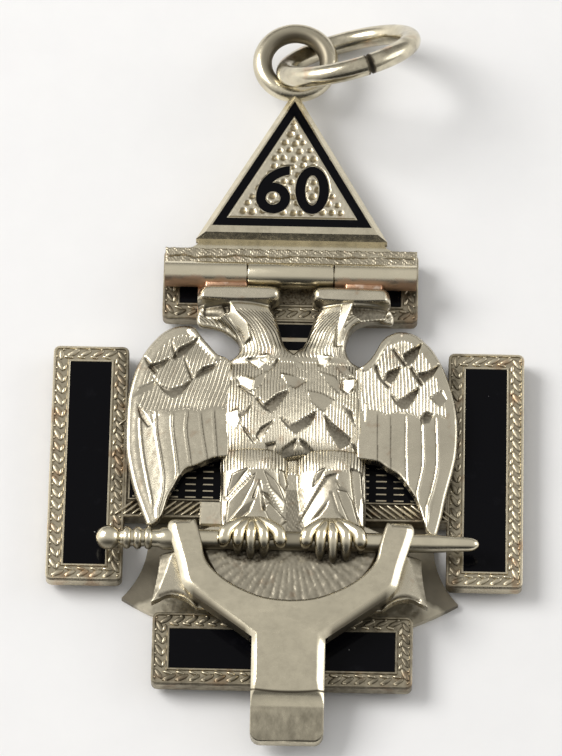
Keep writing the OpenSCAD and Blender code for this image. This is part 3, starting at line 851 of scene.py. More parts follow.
def yoke_tarnish_and_shade(tree, place):
    """Tarnish in the yoke's opening and on the tab, and painted shade under its slanting edges, on its outer
    walls and in the crease
    """
    x, y, _ = parts(tree, place)
    across = off_middle(tree, x)
    # The crease above the tab is a shallow curve
    bent = calc(tree, "MULTIPLY_ADD", calc(tree, "MULTIPLY", across, across), -26.0, y)
    off = calc(tree, "ABSOLUTE", calc(tree, "SUBTRACT", bent, CREASE_Y * MM))
    # Painted shadow along the crease
    crease = spread(tree, off, 0.13 * MM, 0.03 * MM, 0, 0.9)
    brushed = spread(tree, noise(tree, place, 0.5, 4, 0.7, (1, 0.4, 1)), 0.3, 0.7, 0.2, 0.62)
    on_tab = spread(tree, y, (CREASE_Y - 0.85) * MM, (CREASE_Y - 1.0) * MM)
    worn = calc(tree, "MULTIPLY", on_tab, brushed)
    faint = spread(tree, noise(tree, place, 0.9, 4, 0.65), 0.45, 0.75, 0, 0.16)
    slant = slant_painted_shade(tree, calc(tree, "ABSOLUTE", across), y)
    return highest(tree, slant, crease, worn, carried(tree, "patina"), faint)


# Finishes

BROWN = (0.46, 0.28, 0.15)
ROSE = (0.66, 0.44, 0.30)
POLISH = (0.14, 0.26)
BRUSHED = (0.25, 1, 1)
METALS = {
    "polished_metal": dict(
        colour="polished", rough=POLISH, grain=(0.35, 0.12), stretch=BRUSHED, cloud=0.12),
    "barrel_metal": dict(
        colour="polished", rough=POLISH, grain=(0.35, 0.12), stretch=BRUSHED, cloud=0.12,
        tarnish=solder_smear, patina="solder"),
    "sword_metal": dict(
        colour="polished", rough=POLISH, grain=(0.35, 0.12), cloud=0.2, tarnish=sword_painted_shade),
    # The claws darken towards their lower ends: painted shade under them
    "claw_metal": dict(
        colour="polished", rough=POLISH, grain=(0.35, 0.12), cloud=0.12,
        tarnish=patina_and_shade_below(SWORD_Z + 0.85, SWORD_Z + 0.25), cover=0.85),
    "wire_metal": dict(
        colour="polished", share=0.9, rough=POLISH, grain=(0.4, 0.15), cloud=0.3,
        tarnish=ring_tarnish, stain=((0.62, 0.42, 0.28), 1.3, 0.6, 0.5)),
    "hanger_metal": dict(
        colour="polished", share=0.95, rough=(0.16, 0.3), grain=(0.3, 0.15), cloud=0.16,
        tarnish=eye_darkening),
    "yoke_metal": dict(
        colour="polished", share=0.93, rough=(0.15, 0.28), grain=(0.35, 0.2), stretch=(0.4, 1, 1),
        cloud=0.18, tarnish=yoke_tarnish_and_shade),
    "cast_metal": dict(
        colour="cast", rough=(0.2, 0.34), grain=(0.12, 0.12), cloud=0.2, tarnish=carried_patina_and_shade,
        stain=((0.5, 0.36, 0.24), 1.1, 0.62, 0.5), lined=True),
    "field_metal": dict(
        colour="cast", share=0.97, rough=(0.28, 0.45), grain=(0.16, 0.5), cloud=0.15,
        tarnish=carried_patina_and_shade, patina=(0.17, 0.125, 0.05), stain=(ROSE, 1.2, 0.62, 0.4)),
    "stippled_metal": dict(
        colour="cast", share=0.86, rough=(0.3, 0.5), grain=(0.16, 0.8), cloud=0.3,
        tarnish=carried_patina_and_shade, patina=(0.15, 0.11, 0.05), stain=(ROSE, 1.2, 0.62, 0.5)),
    "plate_metal": dict(
        colour="cast", share=0.95, rough=(0.3, 0.5), grain=(0.5, 0.8), cloud=0.3,
        tarnish=plate_shadow_and_specks, cover=0.85),
    "cross_metal": dict(
        colour="cross", rough=(0.2, 0.38), grain=(0.14, 0.35), cloud=0.2,
        tarnish=with_leaf_shade(carried_patina_and_shade, 0.85), stain=(BROWN, 1.6, 0.58, 0.55)),
    "bead_metal": dict(
        colour="cross", rough=(0.2, 0.34), grain=(0.14, 0.4), cloud=0.2, cover=0.6,
        tarnish=with_leaf_shade(patina_and_shade_below(FACE_Z - 0.03, FACE_Z - 0.13), 0.7),
        stain=(BROWN, 1.6, 0.56, 0.55)),
    "scallop_metal": dict(
        colour="cross", share=0.8, rough=(0.3, 0.5), grain=(0.14, 0.8), cloud=0.3, cover=0.85,
        tarnish=with_leaf_shade(patina_and_shade_below(FACE_Z - 0.03, FACE_Z - 0.11), 1.0),
        stain=(BROWN, 1.6, 0.56, 0.55)),
    "solder": dict(
        colour="solder", rough=(0.25, 0.45), grain=(0.2, 0.5), cloud=0.3,
        stain=((0.85, 0.72, 0.6), 0.7, 0.55, 0.6))}

# The slot of each finish that isn't named after one
SLOT_OF = {
    **dict.fromkeys((
        "sword_metal", "barrel_metal", "hanger_metal", "claw_metal", "yoke_metal", "wire_metal",
        "plate_metal"), "polished_metal"),
    **dict.fromkeys(("bead_metal", "scallop_metal"), "cross_metal"),
    "field_metal": "stippled_metal", "solder": "cast_metal"}


def enamel_material():
    """Glossy black enamel with a few pale specks and faint scratches"""
    material, tree, place = new_material("black_enamel")
    dust = node(tree, "ShaderNodeTexVoronoi", {
        "Vector": place, "Scale": 1 / (1.3 * MM), "Randomness": 1.0}, feature="F1")
    speck = spread(tree, dust.outputs["Distance"], 0.028, 0.02)
    haze = spread(tree, noise(tree, place, 1.6, 4, 0.7), 0.6, 0.8, 0, 0.5)
    base = tinted(tree, haze, bpy.context.scene.fob_finish.enamel, (0.012, 0.012, 0.015))
    base = tinted(tree, speck, base, (0.5, 0.5, 0.48))
    rough = spread(tree, noise(tree, place, 0.5, 3, 0.6), 0.3, 0.7, 0.05, 0.16)
    return surfaced(material, {"Base Color": base, "Roughness": rough, "Specular IOR Level": 0.07})


def paper_material():
    """The pale floor"""
    material, tree, place = new_material("pale_floor")
    tone = spread(tree, noise(tree, place, 6, 4, 0.6), 0.3, 0.7)
    base = tinted(tree, tone, (0.825, 0.825, 0.832), (0.85, 0.85, 0.855))
    bump = node(tree, "ShaderNodeBump", {
        "Height": noise(tree, place, 0.9, 4, 0.6), "Strength": 0.12, "Distance": 0.1 * MM})
    return surfaced(material, {
        "Base Color": base, "Roughness": 0.9, "Normal": bump.outputs["Normal"],
        "Specular IOR Level": 0.2})


def finish(key):
    """One of the fob's finishes, made the first time it is asked for"""
    made = bpy.data.materials.get("fob_" + key)
    if made:
        return made
    if key in METALS:
        return metal(key, **METALS[key])
    return {"black_enamel": enamel_material, "pale_floor": paper_material}[key]()


def dress(obj, key, body=None, stands_for=()):
    """Give a piece its finish, its body and the solids that it stands for"""
    obj.data.materials.clear()
    obj.data.materials.append(finish(key))
    if body:
        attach(obj, body)
    if stands_for:
        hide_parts(*stands_for)
    return obj


# Repeats made by Geometry Nodes

def repeat_tree(name, shape, along_path):
    """A tree that puts a small solid on each point of a mesh, or at even steps along its path"""
    if name in bpy.data.node_groups:
        return bpy.data.node_groups[name]
    tree = bpy.data.node_groups.new(name, "GeometryNodeTree")
    face = tree.interface
    face.new_socket(name="Geometry", in_out="INPUT", socket_type="NodeSocketGeometry")
    for label in ("Pitch", "Length", "Width", "Height", "Turn", "Vary"):
        face.new_socket(name=label, in_out="INPUT", socket_type="NodeSocketFloat")
    face.new_socket(name="Seed", in_out="INPUT", socket_type="NodeSocketInt")
    face.new_socket(name="Material", in_out="INPUT", socket_type="NodeSocketMaterial")
    face.new_socket(name="Geometry", in_out="OUTPUT", socket_type="NodeSocketGeometry")
    given = node(tree, "NodeGroupInput").outputs
    turn = node(tree, "FunctionNodeAxisAngleToRotation", {"Axis": (0, 0, 1), "Angle": given["Turn"]})
    if along_path:
        curve = node(tree, "GeometryNodeMeshToCurve", {"Mesh": given["Geometry"]})
        points = node(tree, "GeometryNodeCurveToPoints", {
            "Curve": curve.outputs["Curve"], "Length": given["Pitch"]}, mode="LENGTH")
        facing = node(tree, "FunctionNodeAlignRotationToVector", {
            "Vector": points.outputs["Tangent"]}, axis="X", pivot_axis="Z")
        rotation = node(tree, "FunctionNodeRotateRotation", {
            "Rotation": facing.outputs["Rotation"], "Rotate By": turn.outputs["Rotation"]},
            rotation_space="LOCAL")
        places, rotation = points.outputs["Points"], rotation.outputs["Rotation"]
    else:
        points = node(tree, "GeometryNodeMeshToPoints", {"Mesh": given["Geometry"]})
        places, rotation = points.outputs["Points"], turn.outputs["Rotation"]
    if shape == "bead":
        solid = node(tree, "GeometryNodeMeshIcoSphere", {"Radius": 0.5, "Subdivisions": 2}).outputs["Mesh"]
    else:
        solid = node(tree, "GeometryNodeMeshCube", {"Size": (1, 1, 1)}).outputs["Mesh"]
    size = node(tree, "ShaderNodeCombineXYZ", {
        "X": given["Length"], "Y": given["Width"], "Z": given["Height"]})
    sized = node(tree, "GeometryNodeTransform", {"Geometry": solid, "Scale": size.outputs["Vector"]})
    scale = node(tree, "FunctionNodeRandomValue", {
        "Min": calc(tree, "SUBTRACT", 1.0, given["Vary"]), "Max": calc(tree, "ADD", 1.0, given["Vary"]),
        "Seed": given["Seed"]}, data_type="FLOAT")
    scales = next(s for s in scale.outputs if s.enabled and s.type == "VALUE")
    made = node(tree, "GeometryNodeInstanceOnPoints", {
        "Points": places, "Instance": sized.outputs["Geometry"], "Rotation": rotation,
        "Scale": scales})
    real = node(tree, "GeometryNodeRealizeInstances", {"Geometry": made.outputs["Instances"]})
    smooth = node(tree, "GeometryNodeSetShadeSmooth", {
        "Geometry": real.outputs["Geometry"], "Shade Smooth": shape == "bead"})
    painted = node(tree, "GeometryNodeSetMaterial", {
        "Geometry": smooth.outputs[0], "Material": given["Material"]})
    node(tree, "NodeGroupOutput", {"Geometry": painted.outputs["Geometry"]})
    return tree


def repeated(name, base, tree, key, body, **values):
    """The plain mesh that a tree makes from a base mesh of points or paths"""
    values["Seed"] = bpy.context.scene.fob_stage.seed
    values["Material"] = finish(key)
    modifier = base.modifiers.new(tree.name, "NODES")
    modifier.node_group = tree
    for item in tree.interface.items_tree:
        if item.item_type == "SOCKET" and item.in_out == "INPUT" and item.name in values:
            modifier[item.identifier] = values[item.name]
    graph = bpy.context.evaluated_depsgraph_get()
    mesh = bpy.data.meshes.new_from_object(base.evaluated_get(graph), depsgraph=graph)
    base.modifiers.remove(modifier)
    base.data = mesh
    base.name = name
    mesh.name = name
    if not len(mesh.polygons):
        raise RuntimeError(f"{name}: the tree made nothing")
    return dress(base, key, body)


def path_mesh(name, paths, closed=True):
    """Edges through lists of points in millimetres"""
    verts, edges = [], []
    for path in paths:
        start = len(verts)
        verts += path
        edges += [(i, i + 1) for i in range(start, len(verts) - 1)]
        if closed:
            edges.append((len(verts) - 1, start))
    return to_object(name, verts, edges=edges)


# Cross

GAP = 0.03
BORDER = 1.23
CORNER = 0.45
ENAMEL_DEPTH = 0.4
CHANNEL_DEPTH = 0.11
# How a bar's top is cut, from the outside inwards: inset, height under the face, tarnish
BAR_SECTION = [
    (0.0, 0.30, 0.1), (0.0, 0.22, 0.9), (0.035, 0.20, 1.0), (0.035, 0.15, 1.0), (0.0, 0.13, 0.9),
    (0.0, 0.06, 0.0), (0.06, 0.0, 0.0), (0.18, 0.0, 0.1), (0.23, CHANNEL_DEPTH, 0.42),
    (1.04, CHANNEL_DEPTH, 0.42), (1.09, 0.0, 0.1), (BORDER - 0.03, 0.0, 0.0),
    (BORDER, 0.03, 0.2), (BORDER, ENAMEL_DEPTH, 0.9)]


def bar_frame(*enamels):
    """Middle and half size of the bar that holds these enamel panels, in millimetres"""
    low = np.min([np.array(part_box(n)[0]) for n in enamels], axis=0) / MM
    high = np.max([np.array(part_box(n)[1]) for n in enamels], axis=0) / MM
    grown = GAP + BORDER
    return ((low[0] + high[0]) / 2, (low[1] + high[1]) / 2,
            (high[0] - low[0]) / 2 + grown, (high[1] - low[1]) / 2 + grown)


def bars():
    """The middle and the half size of each bar"""
    return {
        "bar_left": bar_frame("enamel_left_bar"),
        "bar_right": bar_frame("enamel_right_bar"),
        "bar_bottom": bar_frame("enamel_bottom_bar"),
        "bar_top": bar_frame("enamel_top_bar_left", "enamel_top_bar_right")}


def build_bar(name, cx, cy, hx, hy):
    """A bar over its whole section, from its back to the enamel's recess"""
    levels = [(0.08, CROSS_LOW, 0.3), (0.0, CROSS_LOW + 0.08, 0.2)]
    levels += [(inset, FACE_Z - under, share) for inset, under, share in BAR_SECTION]
    rings = [rounded_ring(cx, cy, hx - d, hy - d, CORNER - d, z) for d, z, _ in levels]
    return skinned(name, rings, 35, [share for _, _, share in levels])


def build_arm(name, enamel, inner, outer, half):
    """One arm. inner and outer are its ends along its own axis, and half is its half width"""
    low, high = box_mm(enamel)
    px, py = (high[0] - low[0]) / 2 + GAP, (high[1] - low[1]) / 2 + GAP
    pcx, pcy = (low[0] + high[0]) / 2, (low[1] + high[1]) / 2
    along = 0 if px > py or abs(pcx) > abs(pcy) else 1
    sign = 1 if (pcx, pcy)[along] > 0 else -1
    middle, reach = sign * (inner + outer) / 2, (outer - inner) / 2
    cx, cy, hx, hy = (middle, 0, reach, half) if along == 0 else (0, middle, half, reach)
    rings = [
        rounded_ring(cx, cy, hx, hy, 0.02, CROSS_LOW),
        rounded_ring(cx, cy, hx, hy, 0.02, FACE_Z - 0.05),
        rounded_ring(cx, cy, hx - 0.05, hy - 0.05, 0.02, FACE_Z),
        rounded_ring(cx, cy, hx - 0.16, hy - 0.16, 0.02, FACE_Z),
        rounded_ring(cx, cy, hx - 0.20, hy - 0.20, 0.02, FACE_Z - 0.12),
        rounded_ring(pcx, pcy, px + 0.14, py + 0.14, 0.02, FACE_Z - 0.12),
        rounded_ring(pcx, pcy, px + 0.10, py + 0.10, 0.02, FACE_Z),
        rounded_ring(pcx, pcy, px, py, 0.02, FACE_Z),
        rounded_ring(pcx, pcy, px, py, 0.02, FACE_Z - ENAMEL_DEPTH)]
    return skinned(name, rings, 35, [0.4, 0.3, 0.2, 0.2, 0.9, 1.0, 0.3, 0.3, 0.9])


def build_middle_knuckle():
    """The cross's own knuckle, a bored barrel on a web"""
    half = KNUCKLE_LOW.x / MM - 0.1
    bore, soft = 0.5, 0.08
    left = [(-half, bore), (-half, KNUCKLE_R - soft), (-half + 0.3 * soft, KNUCKLE_R - 0.3 * soft),
            (-half + soft, KNUCKLE_R)]
    tube = turned_x("tube", left + mirrored(left), HINGE_Y, HINGE_Z)
    web = plate_rings(0, HINGE_Y, half, 0.6, 0.02, [(0, FACE_Z - 0.1), (0, HINGE_Z - 0.65)])
    return joined("knuckle_middle", [tube, skinned("web", web)])


class FOB_OT_cross(bpy.types.Operator):
    """Build the cross's bars and arms and the hinge's middle knuckle"""
    bl_idname = "fob.cross"
    bl_label = "Cross"

    def execute(self, context):
        frames = bars()
        for name, (cx, cy, hx, hy) in frames.items():
            dress(build_bar(name, cx, cy, hx, hy), "cross_metal", "cross", ["cross_frame"])
        inner_edge = frames["bar_right"][0] - frames["bar_right"][2]
        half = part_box("enamel_right_arm")[1].y / MM + GAP + ROPE_WIDTH
        for side in ("right", "upper", "left", "lower"):
            wide = half - UPPER_ARM_TRIM if side == "upper" else half
            arm = build_arm(f"arm_{side}", f"enamel_{side}_arm", half, inner_edge + 0.05, wide)
            dress(arm, "cross_metal", "cross")
        centre = plate_rings(0, 0, half, half, 0.02, [(0, CROSS_LOW), (0, FACE_Z)])
        middle = skinned("cross_middle", centre, 35, [0.3, 0.3])
        dress(middle, "cross_metal", "cross")
        # The block between the top bar's two panels
        _, cy, _, hy = frames["bar_top"]
        panel_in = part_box("enamel_top_bar_right")[0].x / MM - GAP
        block = plate_rings(0, cy, panel_in, hy - BORDER, 0.02, [
            (0, FACE_Z - ENAMEL_DEPTH - 0.02), (0, FACE_Z - 0.03), (0.03, FACE_Z)])
        dress(skinned("hinge_seat", block, 35, [0.9, 0.9, 0.9]), "cross_metal", "cross")
        dress(build_middle_knuckle(), "polished_metal", "cross")
        dress(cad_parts["hinge_pin"], "wire_metal")
        for key in ("left_bar", "right_bar", "bottom_bar", "top_bar_left", "top_bar_right",
                    "left_arm", "right_arm", "upper_arm", "lower_arm"):
            dress(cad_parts["enamel_" + key], "black_enamel")
        dress(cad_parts["keystone_plate"], "plate_metal")
        return {"FINISHED"}


class FOB_OT_milling(bpy.types.Operator):
    """Mill the beaded borders round the bars"""
    bl_idname = "fob.milling"
    bl_label = "Milled borders"

    def execute(self, context):
        s = context.scene.fob_cross
        tree = repeat_tree("beads_along_path", "bead", True)
        floor = FACE_Z - CHANNEL_DEPTH
        pitch = s.bead_pitch
        rows = (("milled_scallops", 0.52, 0.02, 1.12, 0.40, 0.20, 1.0, "scallop_metal"),
                ("milled_beads", 0.86, 0.04, 0.72, 0.24, 0.22, -0.5, "bead_metal"),
                ("milled_points", 0.27, 0.06, 0.24, 0.15, 0.12, 0.0, "bead_metal"))
        for name, inset, lift, length, width, height, turn, key in rows:
            paths = [rounded_ring(cx, cy, hx - inset, hy - inset, 0.25, floor + lift, 5)
                     for cx, cy, hx, hy in bars().values()]
            repeated(name, path_mesh(name, paths), tree, key, "cross",
                     Pitch=pitch, Length=length * pitch, Width=width * MM, Height=height * MM,
                     Turn=turn * s.bead_turn, Vary=0.12)
        return {"FINISHED"}


class FOB_OT_arm_pattern(bpy.types.Operator):
    """Lay the roped strips and the enamel's rows of dashes on the arms"""
    bl_idname = "fob.arm_pattern"
    bl_label = "Arm pattern"

    def execute(self, context):
        s = context.scene.fob_cross
        tree = repeat_tree("beads_along_path", "bead", True)
        low, high = box_mm("enamel_right_arm")
        strip_y = high[1] + GAP + ROPE_WIDTH / 2
        ends = (low[0] - 0.2, high[0] + 0.3)
        for name, side in (("rope_left", -1), ("rope_right", 1)):
            lines = [[(side * ends[0], y, FACE_Z), (side * ends[1], y, FACE_Z)]
                     for y in (-strip_y, strip_y)]
            repeated(name, path_mesh(name, lines, closed=False), tree, "bead_metal", "cross",
                     Pitch=s.rope_pitch, Length=1.95 * MM, Width=0.24 * MM, Height=0.24 * MM,
                     Turn=-side * math.radians(38), Vary=0.06)
        dashes = repeat_tree("dashes_on_points", "dash", False)
        pitch = s.dash_pitch / MM
        dash_z = ENAMEL_TOP + 0.01
        points = [
            (side * (low[0] + 1.0 + 1.25 * i), -2.6 + pitch * k, dash_z)
            for side in (-1, 1) for i in range(5) for k in range(11)]
        repeated("arm_dashes", to_object("arm_dashes", points), dashes, "bead_metal", "cross",
                 Length=0.74 * MM, Width=0.10 * MM, Height=0.04 * MM, Vary=0.04)
        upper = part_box("enamel_upper_arm")[1].y / MM
        rungs = [(0, upper - 1.2 - 1.0 * k, dash_z) for k in range(5)]
        repeated("arm_rungs", to_object("arm_rungs", rungs), dashes, "bead_metal", "cross",
                 Length=5.3 * MM, Width=0.3 * MM, Height=0.06 * MM, Vary=0.0)
        return {"FINISHED"}


# Leaf

def eagle_relief(outline):
    """The ground of a chased part of the eagle, on the casting's own grid"""
    step = bpy.context.scene.fob_casting.grid / MM
    return Relief(outline, step, step * ROW_STRETCH, LEAF_Z)


WING_LEFT_OUTER = [
    (-7.4, 10.3), (-8.2, 10.4), (-9.2, 10.1), (-10, 9.4), (-10.8, 8.3), (-11.4, 7), (-11.8, 5.5),
    (-12, 4), (-12, 1), (-11.8, -0.5), (-11.4, -2.2), (-10.9, -3.7), (-10.3, -5.3)]
WING_LEFT_INNER = [
    (-9.85, -5.25), (-9.3, -4.6), (-8.9, -3.2), (-8.5, -2.4), (-8.2, -1.8), (-7.7, -1.0), (-7, -0.7),
    (-6.2, -0.3), (-5.6, -0.05), (-4.6, 0.1), (-4.6, 0.1), (-4.6, 7.5), (-4.6, 7.5), (-5.1, 7.85),
    (-5.6, 8), (-6.2, 8.7), (-6.9, 9.6)]
WING_RIGHT_OUTER = [
    (6.8, 9.95), (7.6, 10.25), (8.6, 10.05), (9.4, 9.4), (10, 8.7), (10.6, 7.6), (11.1, 6.3),
    (11.5, 5), (11.75, 3.5), (11.8, 2), (11.7, 0.5), (11.4, -1), (11, -2.7), (10.7, -4.3),
    (10.4, -5.6)]
WING_RIGHT_INNER = [
    (10.0, -5.7), (9.6, -5.2), (9.4, -4.5), (8.9, -3), (8.2, -1.9), (7.6, -1.1), (6.8, -0.6),
    (6.2, -0.15), (5.4, 0.0), (4.6, 0.1), (4.6, 0.1), (4.4, 7.1), (4.4, 7.1), (5, 7.4), (5.5, 7.95),
    (5.9, 8.7), (6.2, 9.3)]

# Chisel cuts: outline, the way to the deepest side, share of the full depth, and darkening that is partly
# patina and partly painted shade
WING_LEFT_CUTS = [
    ([(-8.75, 7.85), (-8.5, 7.6), (-7.9, 8.1), (-7.15, 9.15), (-8.35, 8.45)], (-0.6, 0.8), 1.0, 1.0),
    ([(-8.95, 9.0), (-8.85, 8.9), (-8.6, 8.0), (-8.7, 7.8), (-8.9, 8.3)], (1, 0.2), 0.7, 1.0),
    ([(-10.45, 7.1), (-9.7, 7.35), (-9.1, 7.65), (-9.5, 7.1), (-10.1, 6.7)], (-0.4, 0.9), 0.9, 1.0),
    ([(-10.8, 7.7), (-10.65, 7.6), (-10.0, 6.7), (-10.15, 6.55), (-10.6, 7.1)], (0.8, 0.5), 0.8, 1.0),
    ([(-8.0, 7.6), (-7.85, 7.5), (-7.35, 6.2), (-7.5, 6.1), (-7.85, 6.9)], (1, 0.3), 0.8, 1.0),
    ([(-7.0, 6.5), (-6.6, 6.9), (-5.7, 7.2), (-6.3, 6.5), (-7.1, 6.2)], (-0.5, 0.85), 1.0, 1.0),
    ([(-9.95, 6.1), (-9.5, 5.5), (-8.9, 5.25), (-8.2, 5.45), (-7.6, 5.9), (-8.1, 5.1), (-8.7, 4.6),
      (-9.3, 5.1)], (0, 1), 1.0, 1.0),
    ([(-11.5, 4.6), (-11.1, 5.3), (-10.1, 5.8), (-10.3, 5.2), (-11, 4.9)], (-0.4, 0.9), 0.5, 0.45),
    ([(-11.2, 3.9), (-10.8, 3.4), (-10.2, 2.5), (-10.5, 2.4), (-11, 3.1)], (-0.8, -0.4), 0.7, 1.0),
    ([(-10.2, 3.3), (-9.7, 3.2), (-10.1, 2.6)], (-1, 0.2), 0.4, 0.0)]
WING_RIGHT_CUTS = [
    ([(7.0, 8.7), (7.2, 8.75), (7.95, 7.65), (7.8, 7.5), (7.3, 8.1)], (0.8, 0.5), 0.8, 1.0),
    ([(7.9, 8.3), (9, 9.15), (8.6, 7.95), (8.2, 7.5), (8, 7.7)], (-0.6, 0.8), 1.0, 1.0),
    ([(8.3, 7.2), (8.5, 7.25), (9.15, 6.15), (9.0, 6.0), (8.6, 6.5)], (0.8, 0.5), 0.8, 1.0),
    ([(9, 6.85), (9.6, 7), (10.3, 7.6), (9.9, 6.8), (9.2, 6.1), (9, 6.3)], (-0.5, 0.85), 1.0, 1.0),
    ([(5.8, 7.2), (6.0, 7.25), (6.3, 6.4), (6.8, 5.9), (6.6, 5.75), (6.0, 6.4)], (0.8, 0.6), 0.8, 1.0),
    ([(6.7, 6.8), (7.5, 7.2), (7.2, 6.4), (6.8, 5.9), (6.5, 6.2)], (-0.5, 0.85), 1.0, 1.0),
    ([(7.1, 5.1), (7.5, 4.7), (7.9, 4.9), (8.8, 5.6), (8.5, 4.8), (8.1, 4.1), (7.7, 4.1), (7.3, 4.6)],
     (0, 1), 1.0, 1.0),
    ([(9.9, 5), (10.6, 5.5), (10.9, 4.9), (10.5, 4.3)], (-0.3, 0.9), 0.5, 0.4),
    ([(9.1, 3.3), (9.5, 3.75), (9.95, 3.6), (9.7, 3), (9.2, 2.9)], (-0.3, 0.9), 0.8, 1.0)]

# Feather boundaries: where each runs, as y and x
FEATHERS_LEFT = [
    [(3.4, -10.95), (2, -10.9), (0, -10.65), (-2, -10.25), (-3.5, -9.95), (-5.2, -9.85)],
    [(3.4, -9.8), (2, -9.75), (0, -9.4), (-1.6, -9.15), (-3, -9.2), (-4.2, -9.5)],
    [(3.4, -8.65), (2, -8.6), (0, -8.3), (-1.2, -8.15), (-1.9, -8.2)],
    [(3.2, -7.6), (2, -7.65), (0, -7.35), (-0.9, -7.25)],
    [(3.2, -6.65), (2, -6.5), (0, -6.15)],
    [(3.2, -5.7), (0, -5.4)]]
FEATHERS_RIGHT = [
    [(3, 6.05), (0, 6.1)],
    [(3, 7.0), (0, 7.05), (-1, 7.1)],
    [(3.2, 8.05), (0, 8.1), (-1.8, 8.2)],
    [(3, 9.2), (0, 9.3), (-1.4, 9.1), (-2.4, 8.9)],
    [(3, 10.2), (0, 10.3), (-2, 10.0), (-3.5, 9.6)],
    [(3, 11.2), (1, 11.2), (-1, 10.7), (-3.5, 10.1), (-4.8, 9.9)]]
FEATHER_TOP = 3.35


def build_wing(name, outer, inner, cuts, feathers, neck_side, lean, side):
    """A wing's feathers and coverts, with their cuts and the graver's lines"""
    s = bpy.context.scene.fob_casting
    coarse = 1.25 if side < 0 else 1.1
    w = eagle_relief(loop_points(outer + [outer[-1]] + inner, 5))
    edge = line_distance(w.x, w.y, run_points(outer, 5))
    w.h += 0.52 + 0.16 * np.sin(np.clip(edge / 0.30, 0, 1) * math.pi / 2)
    w.h += 0.05 * smoothstep(edge, 0.3, 0.8) + 0.14 * smoothstep(edge, 0.8, 3.0)
    w.round_edge(0.12, 0.10)
    inner_field = smoothstep(edge, 0.72, 0.95)
    # The coverts end in a scalloped line
    hem = FEATHER_TOP + 0.28 * np.abs(np.sin(1.4 * w.x)) - 0.05 * (np.abs(w.x) - 8)
    upper = smoothstep(w.y - hem, -0.35, 0.1)
    w.h += 0.035 * upper
    # Feathers: each rises to a bright edge beside a dark step
    lower = (1 - upper) * inner_field
    bounds = np.stack([table_at(f, w.y, 1) for f in feathers])
    order = np.argsort(bounds[:, 0])
    bounds = bounds[order]
    index = (w.x[None] > bounds).sum(0)
    left = np.where(index > 0, np.take_along_axis(bounds, np.maximum(index - 1, 0)[None], 0)[0], w.x)
    right = np.where(
        index < len(bounds),
        np.take_along_axis(bounds, np.minimum(index, len(bounds) - 1)[None], 0)[0], w.x)
    from_left, to_right = w.x - left, right - w.x
    has_left, has_right = index > 0, index < len(bounds)
    width = np.maximum(right - left, 0.3)
    # The right wing's inner feathers are flatter, with only dark lines between them
    bold = smoothstep(w.x, 7.4, 9.0) if side > 0 else 0.35 + 0.65 * smoothstep(-w.x, 6.6, 9.0)
    if side < 0:
        bright, dark, has_bright, has_dark = to_right, from_left, has_right, has_left
    else:
        bright, dark, has_bright, has_dark = from_left, to_right, has_left, has_right
    rise = np.minimum(dark / width, bright / 0.16)
    w.h += 0.075 * lower * bold * (has_left & has_right) * np.clip(rise, 0, 1)
    w.h += lower * bold * has_bright * 0.04 * np.clip(1 - (np.abs(bright - 0.06) / 0.16) ** 2, 0, 1)
    w.darken(lower * has_dark * 0.9 * np.clip(1.2 - dark / 0.11, 0, 1))
    w.plain = np.maximum(w.plain, 1 - inner_field)
    w.ridge(run_points(neck_side, 5), 0.7, 0.14)
    for points, deep, share, dark_share in cuts:
        w.facet(points, deep, share * s.cut_depth / MM, dark_share)
    coverts = smoothstep(w.y - hem, 0.0, 0.3) * smoothstep(edge, 0.35, 0.9)
    w.hatch(w.x - lean * w.y, coarse * s.hatch_pitch / MM, coverts / coarse)
    if side < 0:
        w.darken(0.2 * upper * inner_field)
    w.grain(0.7, 0.002, 3)
    return w.build(name, (LEAF_X, 0))


class FOB_OT_wings(bpy.types.Operator):
    """Chase the eagle's wings"""
    bl_idname = "fob.wings"
    bl_label = "Wings"

    def execute(self, context):
        left = build_wing("eagle_wing_left", WING_LEFT_OUTER, WING_LEFT_INNER, WING_LEFT_CUTS,
                          FEATHERS_LEFT, [(-7.5, 10.0), (-6.9, 9.3), (-6.2, 8.45), (-5.6, 7.8)], 0.28, -1)
        right = build_wing("eagle_wing_right", WING_RIGHT_OUTER, WING_RIGHT_INNER,
                           WING_RIGHT_CUTS, FEATHERS_RIGHT,
                           [(7.4, 9.95), (6.7, 9.6), (6.15, 8.9), (5.6, 7.8), (5.0, 7.2)], -0.05, 1)
        dress(left, "cast_metal", "leaf")
        dress(right, "cast_metal", "leaf")
        return {"FINISHED"}


